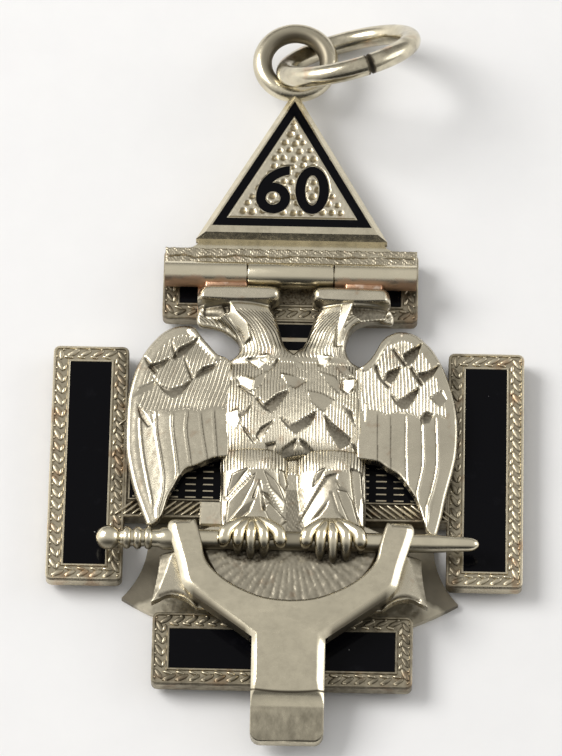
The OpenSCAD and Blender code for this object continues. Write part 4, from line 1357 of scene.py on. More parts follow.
# The eagle's body, necks and crowned heads
BODY_EDGE = [
    (-0.1, 8.2), (-0.1, 8.2), (0.7, 9.3), (1.0, 10.2), (1.4, 11.3), (1.75, 12.0), (1.25, 12.35),
    (1.15, 12.9), (1.4, 13.35), (2.2, 13.5), (5.8, 13.45), (6.5, 13.3), (6.75, 12.8), (6.85, 12.1),
    (7.1, 11.5), (6.95, 10.95), (6.5, 10.95), (5.6, 11.0), (4.8, 10.8), (4.1, 10.3), (3.7, 9.4),
    (3.65, 8.6), (4.0, 7.8), (4.6, 7.5), (5.3, 7.2), (5.55, 6), (5.5, 4.6), (5.45, 3), (5.3, 1.6),
    (5.15, 0.6), (5.0, 0.05), (4.6, -0.2), (3.5, -0.15), (2.5, 0), (1.2, 0.05), (0.2, -0.05),
    (-1, -0.2), (-2.5, -0.3), (-3.7, -0.15), (-4.6, 0.05), (-5.1, 0.3), (-5.3, 1.6), (-5.45, 3),
    (-5.5, 4.6), (-5.55, 6), (-5.4, 7.2), (-4.8, 7.8), (-4.2, 8.2), (-4.0, 8.8), (-4.3, 9.4),
    (-5.2, 10.1), (-6.2, 10.4), (-6.9, 10.5), (-7.2, 11.0), (-7.1, 11.8), (-7.15, 12.6),
    (-6.9, 13.2), (-6.2, 13.5), (-2.2, 13.5), (-1.4, 13.35), (-1.15, 12.9), (-1.3, 12.4),
    (-1.85, 12.0), (-1.45, 11.2), (-1.1, 10.0), (-0.8, 9.0)]

# Across the breast: y, half width, share of the full height
BREAST_ROWS = [
    (8.9, 0.8, 0.34), (8.2, 3.5, 0.58), (7.2, 5.1, 0.71), (6, 5.55, 0.83), (4.6, 5.55, 0.95),
    (3, 5.5, 1.0), (1.6, 5.35, 0.94), (0.6, 5.1, 0.77), (0.1, 4.9, 0.55), (-0.3, 4.8, 0.36)]
BREAST_H = 1.75

# Along a neck and head: y, inner and outer edge, height
NECK_ROWS = [
    (12.5, 1.5, 6.8, 1.15), (12.1, 1.6, 6.9, 1.3), (11.5, 1.45, 6.9, 1.4), (10.8, 1.25, 5.6, 1.38),
    (10, 1.0, 4.5, 1.34), (9.2, 0.7, 4.1, 1.25), (8.4, 0.2, 4.2, 1.2), (7.6, 0.0, 4.8, 1.1)]
CROWN_Y = 12.22
CROWN_H = 1.42

BREAST_WHITE = [
    ([(-4.2, 6.2), (-3.5, 6.3), (-2.9, 5.9), (-3.0, 5.1), (-3.5, 4.9), (-3.9, 5.5)], (0.26, 0.06)),
    ([(-5.2, 3.3), (-4, 3.6), (-3.8, 2.7), (-4.1, 2.1), (-4.6, 2.5), (-5, 3)], (0.16, 0.04)),
    ([(3.4, 6.2), (4.4, 6.2), (4.3, 5.4), (3.8, 5), (3.3, 5.4)], (0.72, 0.1)),
    ([(-5.1, 7.0), (-4.5, 6.9), (-4.4, 6.2), (-5.0, 5.7), (-5.4, 6.3)], (0.06, 0.04)),
    ([(-3.5, 7.7), (-1.9, 8), (-2, 7.2), (-2.7, 6.9)], (0.25, 0.1)),
    ([(1.5, 8.1), (2.6, 7.9), (2.3, 7.1), (1.7, 7.2)], (0.4, 0.1)),
    ([(4.7, 4.6), (5.3, 4.4), (5.2, 2.4), (4.8, 2.6)], (0.9, 0.05))]
# The bright folds of cheek and neck on each head, and their tilt
HEAD_FOLDS = [
    ([(-5.3, 12.0), (-4.6, 12.0), (-4.3, 11.3), (-3.5, 10.4), (-3.2, 9.2), (-3.7, 8.9), (-4.1, 10.0),
      (-4.9, 10.9)], (0.45, 0.1)),
    ([(3.3, 12.0), (4.2, 12.0), (3.9, 11.2), (3.5, 10.2), (3.4, 8.9), (2.8, 8.8), (2.9, 10.2),
      (3.2, 11.2)], (0.62, 0.1))]
BREAST_BEIGE = [
    ([(-3, 6), (-2, 6.6), (-2.3, 5.6), (-3, 5)], (-0.12, 0.1)),
    ([(-1, 6.4), (-0.4, 6.3), (0.9, 5.9), (0.1, 5.2), (-0.5, 5.5)], (-0.1, 0.16)),
    ([(1.7, 6.7), (2.9, 6.3), (3.3, 5.6), (3.2, 5), (2.6, 5.6)], (0.1, 0.16)),
    ([(0.9, 5), (2.0, 4.8), (2.9, 4.3), (2.1, 3.4), (1.3, 4.1)], (0.06, 0.14)),
    ([(-2.6, 7.6), (-1.5, 7.0), (-2.0, 6.6), (-2.6, 7.0)], (-0.12, 0.1)),
    ([(-0.3, 7.7), (0.5, 7.3), (0.9, 6.6), (0.2, 6.9)], (0.1, 0.14)),
    ([(2.9, 7.4), (3.7, 7.2), (4.3, 6.5), (3.4, 6.7)], (0.16, 0.12))]
BREAST_DARK = [
    ([(-0.5, 4.9), (-1.2, 4.6), (-2, 3.9), (-1.55, 3.2), (-1, 4)], (-0.6, 0.7)),
    ([(-3.1, 4), (-3.4, 3.5), (-3.9, 3.3), (-3.9, 2.9), (-3.3, 3.4)], (0.6, 0.8)),
    ([(-1.5, 2.5), (-2.3, 2), (-2.6, 1.5), (-2.3, 1.1), (-1.9, 1.9)], (-0.7, 0.7)),
    ([(-0.8, 2.8), (-0.1, 2.3), (0.2, 2.4), (1.4, 3.2), (1.1, 2.4), (0.6, 2), (0.2, 1.6),
      (-0.3, 2.1)], (0, 1)),
    ([(2.35, 2.9), (2.8, 2.4), (4, 1.5), (3.9, 1.2), (3.3, 0.8), (3, 1.2), (2.6, 1.9)], (0.5, 0.85)),
    ([(3.6, 3.9), (4.2, 3.5), (4.4, 2.6), (4.0, 3.1)], (0.8, 0.5)),
    ([(-0.8, 0.1), (-0.7, 0.5), (0.15, 1.1), (0, 0.2)], (-0.3, 0.9)),
    ([(0.5, 1.1), (0.9, 0.9), (1.5, 0.3), (1.2, 0.1), (0.9, 0.3)], (0.6, 0.8)),
    ([(-1.9, 0.8), (-1.3, 0.9), (-1.4, 0.3), (-1.8, 0.3)], (-0.2, 1)),
    ([(-4.0, 5.5), (-3.8, 5.5), (-2.9, 4.75), (-3.05, 4.6)], (0.4, 0.9)),
    ([(-2.7, 4.35), (-2.5, 4.3), (-1.95, 3.55), (-2.1, 3.4)], (0.6, 0.7)),
    ([(-3.6, 2.05), (-3.4, 2.0), (-2.8, 1.1), (-2.95, 1.0)], (0.7, 0.6)),
    ([(4.2, 1.05), (4.4, 1.05), (4.75, 0.55), (4.6, 0.4)], (0.7, 0.6)),
    ([(-1.4, 7.6), (-1.2, 7.6), (-1.5, 7.1), (-1.7, 7.1)], (1, 0.2))]


def build_body():
    """The breast, necks, heads and crowns, as one relief"""
    s = bpy.context.scene.fob_casting
    b = eagle_relief(loop_points(BODY_EDGE, 3))
    half = table_at(BREAST_ROWS, b.y, 1)
    share = table_at(BREAST_ROWS, b.y, 2)
    breast = np.where(b.y < 8.9, BREAST_H * share * dome(b.x, 0, half, 1.0), 0)
    side = np.where(b.x < 0, -1.0, 1.0)
    up = np.maximum(b.y, 7.6)
    low, high, neck_h = (table_at(NECK_ROWS, up, column) for column in (1, 2, 3))
    mid, width = (low + high) / 2, (high - low) / 2
    neck = neck_h * dome(b.x, side * mid, width, 1.0) * smoothstep(b.y, 6.5, 7.9)
    b.h += (breast + neck + np.sqrt((breast - neck) ** 2 + 0.04)) / 2 - 0.05
    # Crowns: a smooth rounded band across the top
    band = smoothstep(b.y, CROWN_Y - 0.16, CROWN_Y + 0.16)
    crown = CROWN_H - 0.5 * (1 - np.clip(b.d / 0.5, 0, 1)) ** 2
    b.h += band * (crown - b.h)
    b.groove([(-7, CROWN_Y - 0.1), (-1.2, CROWN_Y - 0.1)], 0.45, 0.1, 0.35)
    b.groove([(1.2, CROWN_Y - 0.1), (7, CROWN_Y - 0.1)], 0.45, 0.1, 0.35)
    # Rounded lower rim along every edge but the crowns'
    b.round_edge(0.2, 0.22, 1 - band)
    # Cheeks and beaks
    b.facet([(-6.5, 11.9), (-5.0, 11.95), (-4.95, 11.4), (-5.6, 11.1), (-6.5, 11.3)], (0.3, 1), 0.5, 0.9, 0.5)
    b.facet([(4.3, 11.9), (6.4, 11.9), (6.3, 11.35), (4.8, 11.0), (4.3, 11.3)], (-0.3, 1), 0.5, 0.9, 0.5)
    for points, tilt in HEAD_FOLDS:
        b.plane(points, tilt, 0.06)
    for points, tilt in BREAST_WHITE:
        b.plane(points, tilt, 0.02)
    for points, tilt in BREAST_BEIGE:
        b.plane(points, tilt, -0.01, 0.08)
    for points, deep in BREAST_DARK:
        b.facet(points, deep, 0.8 * s.cut_depth / MM, 0.95)
    pitch = s.hatch_pitch / MM
    b.hatch(b.x, pitch, (1 - smoothstep(b.y, 7.3, 7.6)) * smoothstep(b.d, 0.1, 0.4))
    on_neck = smoothstep(b.y, 7.65, 8.0) * smoothstep(-b.y, -11.8, -11.2) * smoothstep(b.d, 0.1, 0.35)
    b.hatch(b.x - side * (mid - 2.4), 1.2 * pitch, 0.85 * on_neck)
    b.grain(0.7, 0.003, 5)
    return b.build("eagle_body", (LEAF_X, 0))


class FOB_OT_body(bpy.types.Operator):
    """Chase the eagle's breast, necks, heads and crowns"""
    bl_idname = "fob.body"
    bl_label = "Body and heads"

    def execute(self, context):
        dress(build_body(), "cast_metal", "leaf", ["eagle"])
        return {"FINISHED"}


LEGS_EDGE = [
    (-4.9, 0.6), (-4.9, 0.6), (-5.15, -0.2), (-5.15, -1), (-5.1, -2.5), (-5.1, -4), (-5, -5.2),
    (-4.6, -5.75), (-3.8, -5.6), (-3, -5.8), (-2.2, -5.7), (-1.4, -5.9), (-0.6, -5.75), (0.2, -5.85),
    (1, -5.75), (1.6, -5.9), (2.4, -5.7), (3.2, -5.85), (4, -5.65), (4.7, -5.75), (5.2, -5.3),
    (5.3, -4), (5.3, -2), (5.2, -0.2), (4.9, 0.6), (4.9, 0.6)]

# Along a thigh: y, middle, half width, height
THIGH_ROWS = [
    (0.7, 2.7, 2.35, 1.25), (-0.6, 2.7, 2.4, 1.5), (-2, 2.7, 2.4, 1.4), (-3.4, 2.7, 2.35, 1.2),
    (-4.6, 2.75, 2.3, 1.0), (-5.4, 2.75, 2.2, 0.8), (-6, 2.75, 2.1, 0.6)]
THIGH_DARK = [
    ([(-4.75, -5.4), (-3.5, -4), (-2.8, -3.6), (-3.1, -4.3), (-4.2, -5.2)], (0.6, -0.8), 0.8),
    ([(-2.45, -2.1), (-2.3, -2.1), (-2.6, -3.2), (-2.8, -3.2)], (-1, 0), 0.8),
    ([(-2.4, -2.1), (-2.25, -2.1), (-1.9, -3.9), (-2.1, -4.0)], (1, 0), 0.8),
    ([(-2.1, -2.9), (-1.6, -3.1), (-1.2, -3.7), (-0.9, -4), (-1.6, -3.5)], (0.5, 0.8), 0.7),
    ([(3, -1.7), (2.3, -1.9), (1.9, -2.6), (1.2, -3.9), (0.6, -4.9), (0.9, -5.2), (1.4, -4.6),
      (2.3, -3.4), (2.9, -2.6)], (-0.8, 0.6), 0.6),
    ([(1.5, -4.7), (1.7, -4.5), (2.6, -3.4), (2.4, -3.9), (2, -4.4)], (0.7, -0.7), 0.8),
    ([(3.2, -1.9), (3.5, -2.3), (4, -2.6), (3.4, -2.6)], (0, 1), 0.7),
    ([(2.8, -3), (3.0, -3.0), (3.4, -4.2), (4.4, -5.4), (4.2, -5.5), (3.2, -4.3)], (1, 0.4), 0.8)]
THIGH_GREY = [
    ([(-4.6, -2.6), (-4.3, -1.5), (-3.2, -1.1), (-4, -2.3), (-4.6, -3)], (-0.15, 0.2)),
    ([(-4.7, -5.2), (-4.6, -3.5), (-3.5, -2.4), (-2.65, -1.5), (-2.9, -2.4), (-3.6, -3.8)],
     (-0.12, 0.1)),
    ([(-2, -1.3), (-1.3, -1.8), (-0.9, -2.3), (-0.4, -3.4), (-0.7, -3.2), (-1.5, -2.4)], (0.15, 0.1)),
    ([(-2, -3.9), (-1.6, -3.6), (-0.9, -4.2), (-0.3, -4.8), (-0.9, -5.3), (-1.5, -4.9)], (0.1, 0.1)),
    ([(1.5, -2.3), (1.7, -1.3), (2.3, -1), (2, -1.7)], (-0.1, 0.2)),
    ([(3.2, -2.6), (3.9, -2.7), (4.3, -3.3), (4.6, -4.3), (5, -5.3), (4.6, -5.6), (4.3, -5.2),
      (3.6, -3.7)], (0.12, 0.1)),
    ([(4.2, -0.9), (4.9, -1), (5.15, -3.5), (5.2, -5.4), (4.9, -5.2), (4.5, -3.6), (4.3, -2.2)],
     (0.3, 0.0)),
    ([(-1, -1), (-0.6, -1.1), (-0.3, -2), (-0.5, -2.4), (-0.9, -2)], (0.2, 0.1))]
# Ribbed strips of the feathered legs, from and to
THIGH_RIBS = [[(-4.7, -3.2), (-2.9, -1.6)], [(-1.9, -2.3), (-0.4, -4.6)], [(2.4, -1.6), (0.7, -4.2)]]


def build_legs():
    """The thighs, with their cuts and ribbed strips"""
    s = bpy.context.scene.fob_casting
    g = eagle_relief(loop_points(LEGS_EDGE, 4))
    side = np.where(g.x < 0.1, -1.0, 1.0)
    mid, half = table_at(THIGH_ROWS, g.y, 1), table_at(THIGH_ROWS, g.y, 2)
    thigh = table_at(THIGH_ROWS, g.y, 3) * dome(g.x, side * mid, half, 1.0)
    g.h += np.maximum(0.55, thigh)
    g.round_edge(0.2, 0.2)
    for points, deep, dark in THIGH_DARK:
        g.facet(points, deep, 0.75 * s.cut_depth / MM, dark)
    for points, tilt in THIGH_GREY:
        g.plane(points, (2 * tilt[0], 2 * tilt[1]), 0.04, 0.1)
        g.groove(points + points[:1], 0.16, 0.07, 0.75)
    for a, b in THIGH_RIBS:
        a, b = np.array(a), np.array(b)
        way = (b - a) / np.linalg.norm(b - a)
        along = (g.x - a[0]) * way[0] + (g.y - a[1]) * way[1]
        near = np.clip(1.2 - line_distance(g.x, g.y, [a, b]) / 0.2, 0, 1)
        g.h += near * (0.05 + 0.04 * np.cos(along / 0.24 * 2 * math.pi))
        g.plain = np.maximum(g.plain, near)
    between = (g.x > -0.4) & (g.x < 0.95) & (g.y < -1.5)
    g.darken(np.where(between & (g.y < -2.4), 0.55, 0))
    g.grain(0.12, 0.02, 9, between * 1.0)
    g.hatch(g.x, s.hatch_pitch / MM, smoothstep(g.y, -1.3, -1.0))
    g.grain(0.7, 0.003, 6)
    return g.build("eagle_legs", (LEAF_X, 0))


FOOT_X = 2.75
# Where each claw ends, from the left
CLAW_TIPS = {
    "left": [(-4.75, -7.1), (-3.75, -7.45), (-2.85, -7.75), (-1.9, -7.6), (-0.75, -7.05)],
    "right": [(1.1, -7.15), (2.1, -7.75), (3.0, -7.95), (3.95, -7.75), (4.95, -7.2)]}


def build_foot_mound(name, middle):
    """The mass of a foot between its claws, over the sword, with painted shade that darkens it towards its
    lower end
    """
    edge = [(-0.7, -4.5), (0.7, -4.5), (1.5, -5.3), (2.25, -6.2), (2.3, -6.8), (1.4, -7.25),
            (0, -7.4), (-1.4, -7.25), (-2.3, -6.8), (-2.25, -6.2), (-1.5, -5.3)]
    step = 0.05
    m = Relief(loop_points([(x + middle, y) for x, y in edge], 4), step, step, LEAF_Z)
    over = SWORD_Z + 0.78 - LEAF_Z
    m.h += np.interp(-m.y, [4.5, 5.3, 6.0, 6.7, 7.4], [1.1, 1.6, over, over - 0.12, 0.9])
    m.round_edge(0.6, 0.6)
    # Painted shade: light at the top, dark under the claws
    m.dark = 0.1 + 0.85 * smoothstep(-m.y, 5.7, 6.6)
    m.grain(0.2, 0.02, 31)
    return m.build(name, (LEAF_X, 0))


class FOB_OT_legs(bpy.types.Operator):
    """Chase the thighs and bend the claws round the sword"""
    bl_idname = "fob.legs"
    bl_label = "Legs and claws"

    def execute(self, context):
        dress(build_legs(), "cast_metal", "leaf")
        claws = []
        for foot, tips in CLAW_TIPS.items():
            side = -1 if foot == "left" else 1
            middle = side * FOOT_X
            for x, y in tips:
                out = abs(x - middle) / 2
                path = [
                    (middle + 0.2 * (x - middle), -4.9, LEAF_Z + 1.15),
                    (middle + 0.55 * (x - middle), -5.5, SWORD_Z + 0.62),
                    (middle + 0.92 * (x - middle), -6.2, SWORD_Z + 0.84),
                    (x, -6.8, SWORD_Z + 0.7), (x, y + 0.3, SWORD_Z + 0.15), (x, y, SWORD_Z - 0.3)]
                path = [(px + LEAF_X, py, pz) for px, py, pz in path]
                thick = 0.34 + 0.12 * out
                shares = (0.4, 0.85, 1.1, 1.1, 0.9, 0.35)
                claws.append(limb("claw", path, [thick * share for share in shares]))
            dress(build_foot_mound("eagle_foot_" + foot, middle), "cast_metal", "leaf")
        dress(joined("eagle_claws", claws), "claw_metal", "leaf")
        return {"FINISHED"}


TAIL_EDGE = [
    (-5.0, 0.4), (-5.0, 0.4), (5.0, 0.4), (5.0, 0.4), (5.2, -5), (5.2, -5), (6.3, -5.5), (6.3, -5.5),
    (6.4, -7.35), (6.4, -7.35), (8.6, -7.4), (9.3, -7.5), (9.3, -7.5), (9.42, -9), (9.8, -11.3),
    (9.8, -11.3), (9.3, -11.05), (8.8, -10.75), (8.2, -10.7), (7.3, -11.0), (6.6, -11.55),
    (6.6, -11.55)]


def build_tail():
    """The plate behind the legs with its fan of feathers and its two pointed corners"""
    s = bpy.context.scene.fob_casting
    step = 1.6 * s.grid / MM
    left = mirrored(TAIL_EDGE[4:])
    t = Relief(loop_points(TAIL_EDGE + left, 3), step, step * 1.2, LEAF_Z)
    t.h += 0.4
    r = np.hypot(t.x, t.y - FAN_Y)
    fan = smoothstep(-r, -6.55, -6.4) * (t.y < -6.4) * (np.abs(t.x) < 6.3)
    turn = np.arctan2(t.x, -(t.y - FAN_Y))
    ribs = np.cos(turn * 60 + 0.8 * np.sin(3 * turn)) * smoothstep(r, 2.4, 3.8)
    t.h += fan * (0.2 + 0.01 * ribs)
    t.grain(0.3, 0.01, 12, fan)
    t.grain(0.9, 0.014, 14, fan)
    t.darken(fan * (0.46 - 0.12 * ribs))
    # Painted shadow on the fan under the feet
    under_feet = np.hypot((np.abs(t.x) - FOOT_X) / 2.4, (t.y + 7.2) / 1.0)
    t.darken(fan * 0.9 * smoothstep(-under_feet, -1.15, -0.75))
    # Corners: an outer slope, a ridge and a flat inner field
    ax = np.abs(t.x)
    ridge_x = np.interp(-t.y, [7.4, 9, 10.3, 11.3], [8.35, 8.8, 9.25, 9.75])
    corner = smoothstep(ax, 6.5, 6.8) * (t.y < -7.2)
    outward = ax - ridge_x
    t.h += corner * (0.34 - 0.55 * np.clip(outward, 0, 1.2))
    t.h -= corner * 0.05 * np.clip(-outward, 0, 1)
    # Painted shade on the corners' outer slopes
    t.darken(corner * 0.45 * smoothstep(outward, 0.02, 0.12))
    # Painted shadow along the corners' curved lower edge, which also gets a shallow groove
    curve = line_distance(ax, t.y, run_points([(6.5, -11.3), (7.3, -10.75), (8.2, -10.45), (9.2, -10.8)], 6))
    t.darken(corner * 0.85 * np.clip(1.3 - curve / 0.16, 0, 1))
    t.h -= corner * 0.12 * np.clip(1 - curve / 0.16, 0, 1)
    t.grain(0.7, 0.004, 13)
    return t.build("eagle_tail", (LEAF_X, 0))


class FOB_OT_tail(bpy.types.Operator):
    """Chase the tail and the small block beside the left leg"""
    bl_idname = "fob.tail"
    bl_label = "Tail"

    def execute(self, context):
        dress(build_tail(), "cast_metal", "leaf")
        block = plate_rings(LEAF_X - 5.75, -4.3, 0.8, 0.95, 0.15, [
            (0, LEAF_Z), (0, LEAF_Z + 0.5), (0.12, LEAF_Z + 0.62)])
        dress(skinned("eagle_side_block", block), "field_metal", "leaf")
        return {"FINISHED"}


def build_sword():
    """Pommel, ringed grip and blade, as one turned body with an oval section"""
    low, high = SWORD_LOW.x / MM - LEAF_X, SWORD_HIGH.x / MM - LEAF_X
    ball = 0.9
    grip = -9.4
    profile = []
    for a in np.linspace(180, 30, 14):
        profile.append((low + ball + ball * math.cos(math.radians(a)), ball * math.sin(math.radians(a))))
    x = low + 2 * ball + 0.05
    profile.append((x, 0.56))
    while x < grip - 0.5:
        profile += [(x + 0.1, 0.62), (x + 0.2, 0.76), (x + 0.38, 0.84), (x + 0.56, 0.76), (x + 0.66, 0.62)]
        x += 0.76
    profile += [(grip, 0.66), (grip + 0.3, 0.82), (grip + 0.8, 0.84), (grip + 2.2, 0.8), (grip + 3, 0.7)]
    tip = 0.8
    profile += [(high - 3.6, 0.68), (high - tip, 0.52)]
    for a in np.linspace(75, 0, 8):
        profile.append((high - tip + tip * math.cos(math.radians(a)), 0.52 * math.sin(math.radians(a))))
    rings = []
    for x, r in profile:
        r = max(r, 0.01)
        rings.append([
            (x + LEAF_X, SWORD_Y + r * math.cos(a), SWORD_Z + 0.92 * r * math.sin(a))
            for a in np.linspace(0, 2 * math.pi, 28, endpoint=False)])
    return skinned("sword_body", rings, 50)


class FOB_OT_sword(bpy.types.Operator):
    """Forge the sword"""
    bl_idname = "fob.sword"
    bl_label = "Sword"

    def execute(self, context):
        dress(build_sword(), "sword_metal", "leaf", ["sword"])
        return {"FINISHED"}


# The catch yoke's right half, from its shoulder up the outer side and down the inner one
YOKE_STEM = (2.6, -14.2)
YOKE_SHOULDER = (7, -10.95)
YOKE_HALF = [
    YOKE_SHOULDER, (7.6, -10.2), (8, -8.6), (8.5, -6.9), (8.75, -5.9), (8.6, -5.4), (8.2, -5.25),
    (7.4, -5.2), (6.95, -5.25), (6.75, -5.5), (6.35, -6.9), (6.05, -8.3), (5.2, -9.4), (4, -10.3),
    (2.4, -11.05), (1.2, -11.33), (0, -11.42)]
INNER_FROM = 9
# The yoke's rounded edge, from the outside: share of the bevel's width, of its drop, tarnish
YOKE_EDGE = [(0.0, 1.0, 0.9), (0.12, 0.78, 0.8), (0.78, 0.08, 0.2), (0.95, 0.0, 0.0), (1.15, 0.0, 0.0)]
STEM_BREAK = -18.0
TAB_TOP = -18.35


def yoke_height(y):
    """Height of the yoke's face along its length"""
    return np.interp(-y, [0, 14.2, -STEM_BREAK, -TAB_TOP, -TAB_END], [
        YOKE_TOP, YOKE_TOP, YOKE_TOP - 0.9, YOKE_TOP - 1.15, YOKE_TOP - 2.35])


def yoke_under(y):
    """Height of the yoke's underside along its length"""
    return np.interp(-y, [0, 14.2, -STEM_BREAK, -TAB_END], [
        LEAF_Z + 0.45, LEAF_Z + 0.45, YOKE_TOP - 2.1, 1.15])


def inset_loop(loop, d):
    """A closed outline moved inwards, each point by its own distance"""
    ahead = np.roll(loop, -1, axis=0) - loop
    ahead /= np.linalg.norm(ahead, axis=1)[:, None]
    normal = np.stack([-ahead[:, 1], ahead[:, 0]], 1)
    area = 0.5 * np.sum(loop[:, 0] * np.roll(loop[:, 1], -1) - np.roll(loop[:, 0], -1) * loop[:, 1])
    normal *= np.sign(area)
    before = np.roll(normal, 1, axis=0)
    mitre = normal + before
    mitre /= np.maximum(np.sum(mitre * mitre, axis=1), 0.9)[:, None] / 2
    return loop + d[:, None] * mitre


def clean_inset(loop, d):
    """inset_loop without the folds that tight corners make"""
    if d.max() <= 0:
        return loop
    moved = inset_loop(loop, d)
    depth = inside_distance(moved[:, 0].copy(), moved[:, 1].copy(), loop)[0]
    good = np.nonzero(depth > 0.955 * d)[0]
    n = len(loop)
    for i in range(n):
        steps = np.minimum((good - i) % n, (i - good) % n)
        moved[i] = moved[good[np.argmin(steps)]]
    return moved


def build_yoke():
    """The fork, its stem and its thumb tab, with a rounded edge"""
    s = bpy.context.scene.fob_yoke
    bevel, drop, corner = s.bevel / MM, s.drop / MM, s.tab_radius / MM
    stem_x, stem_top = YOKE_STEM
    fork = run_points(YOKE_HALF, 4)
    bottom = TAB_END + corner
    stem = [(stem_x, y) for y in np.linspace(bottom, TAB_TOP, 6)[:-1]]
    stem += [(stem_x, y) for y in np.linspace(TAB_TOP, STEM_BREAK, 4)[:-1]]
    stem += [(stem_x, y) for y in np.linspace(STEM_BREAK, stem_top, 6)]
    turn = [(stem_x - corner + corner * math.sin(a), bottom - corner * math.cos(a))
            for a in np.linspace(0, math.pi / 2, 6)[:-1]]
    column = [(0.8, TAB_END)] + turn + stem
    right = np.concatenate([column, fork[:-1]])
    loop = np.concatenate([right, [fork[-1]], right[::-1] * (-1, 1)])
    # The bevel is wider on the stem's right, narrow in the opening, and runs out towards the tab
    inner = 4 * INNER_FROM
    taper = np.interp(np.arange(len(fork) - 1), [0, inner - 8, inner], [1, 1, 0.34])
    share = np.concatenate([
        np.full(len(column), 1.15), taper, [0.34], taper[::-1], np.full(len(column), 0.7)])
    share *= np.clip((loop[:, 1] + 18.6) / 0.8, 0.15, 1)
    opening = np.zeros(len(loop))
    opening[len(column) + inner:len(loop) - len(column) - inner] = 1
    rings = [np.column_stack([loop, yoke_under(loop[:, 1])])]
    # The underside's ring is darkened all round: painted shade on the outer walls, besides the tarnish in the
    # opening
    tarnish = [np.maximum(opening, 0.5)]
    for across, down, dark in YOKE_EDGE:
        points = clean_inset(loop, across * bevel * share)
        rings.append(np.column_stack([points, yoke_height(points[:, 1]) - down * drop * share]))
        tarnish.append(dark * opening)
    n = len(loop)
    verts = np.concatenate(rings) + (LEAF_X, 0, 0)
    faces = ring_faces(len(rings), n)
    rows = len(column) - 1
    for r in (0, len(rings) - 1):
        faces += [(r * n + i, r * n + i + 1, r * n + n - 2 - i, r * n + n - 1 - i) for i in range(rows)]
        faces.append(tuple(r * n + i for i in range(rows, n - rows)))
    obj = to_object("yoke", verts, faces)
    carry(obj, "patina", np.concatenate(tarnish))
    face_outwards(obj, 0.02)
    sharpen(obj, 35)
    return obj


class FOB_OT_yoke(bpy.types.Operator):
    """Make the polished catch yoke with its stem and thumb tab"""
    bl_idname = "fob.yoke"
    bl_label = "Catch yoke"

    def execute(self, context):
        dress(build_yoke(), "yoke_metal", "leaf", ["catch_yoke"])
        return {"FINISHED"}


class FOB_OT_hinge(bpy.types.Operator):
    """Finish the outer knuckles and lay the coppery solder beside them"""
    bl_idname = "fob.hinge"
    bl_label = "Hinge"

    def execute(self, context):
        for side in ("left", "right"):
            dress(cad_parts["knuckle_" + side], "barrel_metal")
        for name, low, high in (("left", -6.7, -3.55), ("right", 3.45, 6.25)):
            cx, hx = (low + high) / 2 + LEAF_X, (high - low) / 2
            strip = plate_rings(cx, 13.62, hx, 0.34, 0.12, [
                (0, LEAF_Z), (0, LEAF_Z + 0.75), (0.1, LEAF_Z + 0.9), (0.2, LEAF_Z + 0.95)])
            dress(skinned("hinge_solder_" + name, strip, 60), "solder", "leaf")
        return {"FINISHED"}


FOOT_EDGE_Y = 15.78
FIELD_INSET = 0.03


def build_foot():
    """The stippled strip behind the hinge, with the wavy seam where it is soldered"""
    step = 0.05
    half = BARREL_HALF + 0.03
    top = CROSS_HALF + 0.06
    edge = [(-half, FOOT_EDGE_Y), (half, FOOT_EDGE_Y), (half, top), (-half, top)]
    strip = Relief(loop_points(cornered(edge), 1), step, step, FACE_Z - 0.03)
    strip.h += 0.42
    strip.round_edge(0.15, 0.1)
    strip.grain(0.16, 0.055, 21)
    strip.grain(0.8, 0.02, 22)
    strip.darken(0.35)
    seam = [(x, 16.42 + 0.07 * math.sin(1.3 * x) + 0.05 * math.sin(3.1 * x + 1) + 0.012 * x)
            for x in np.linspace(-8.9, 8.9, 60)]
    strip.groove(seam, 0.16, 0.12, 1.0)
    return strip.build("hanger_foot", patina_gain=6)


def distance_from(name, x, y, reach):
    """How far each point lies from a node's top face, seen from above, up to reach"""
    low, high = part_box(name)
    tree = BVHTree.FromObject(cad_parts[name], bpy.context.evaluated_depsgraph_get())
    away = np.full(len(x), reach)
    near = ((x > low.x / MM - reach) & (x < high.x / MM + reach)
            & (y > low.y / MM - reach) & (y < high.y / MM + reach))
    for i in np.nonzero(near)[0]:
        away[i] = tree.find_nearest(Vector((x[i] * MM, y[i] * MM, high.z)))[3] / MM
    return away


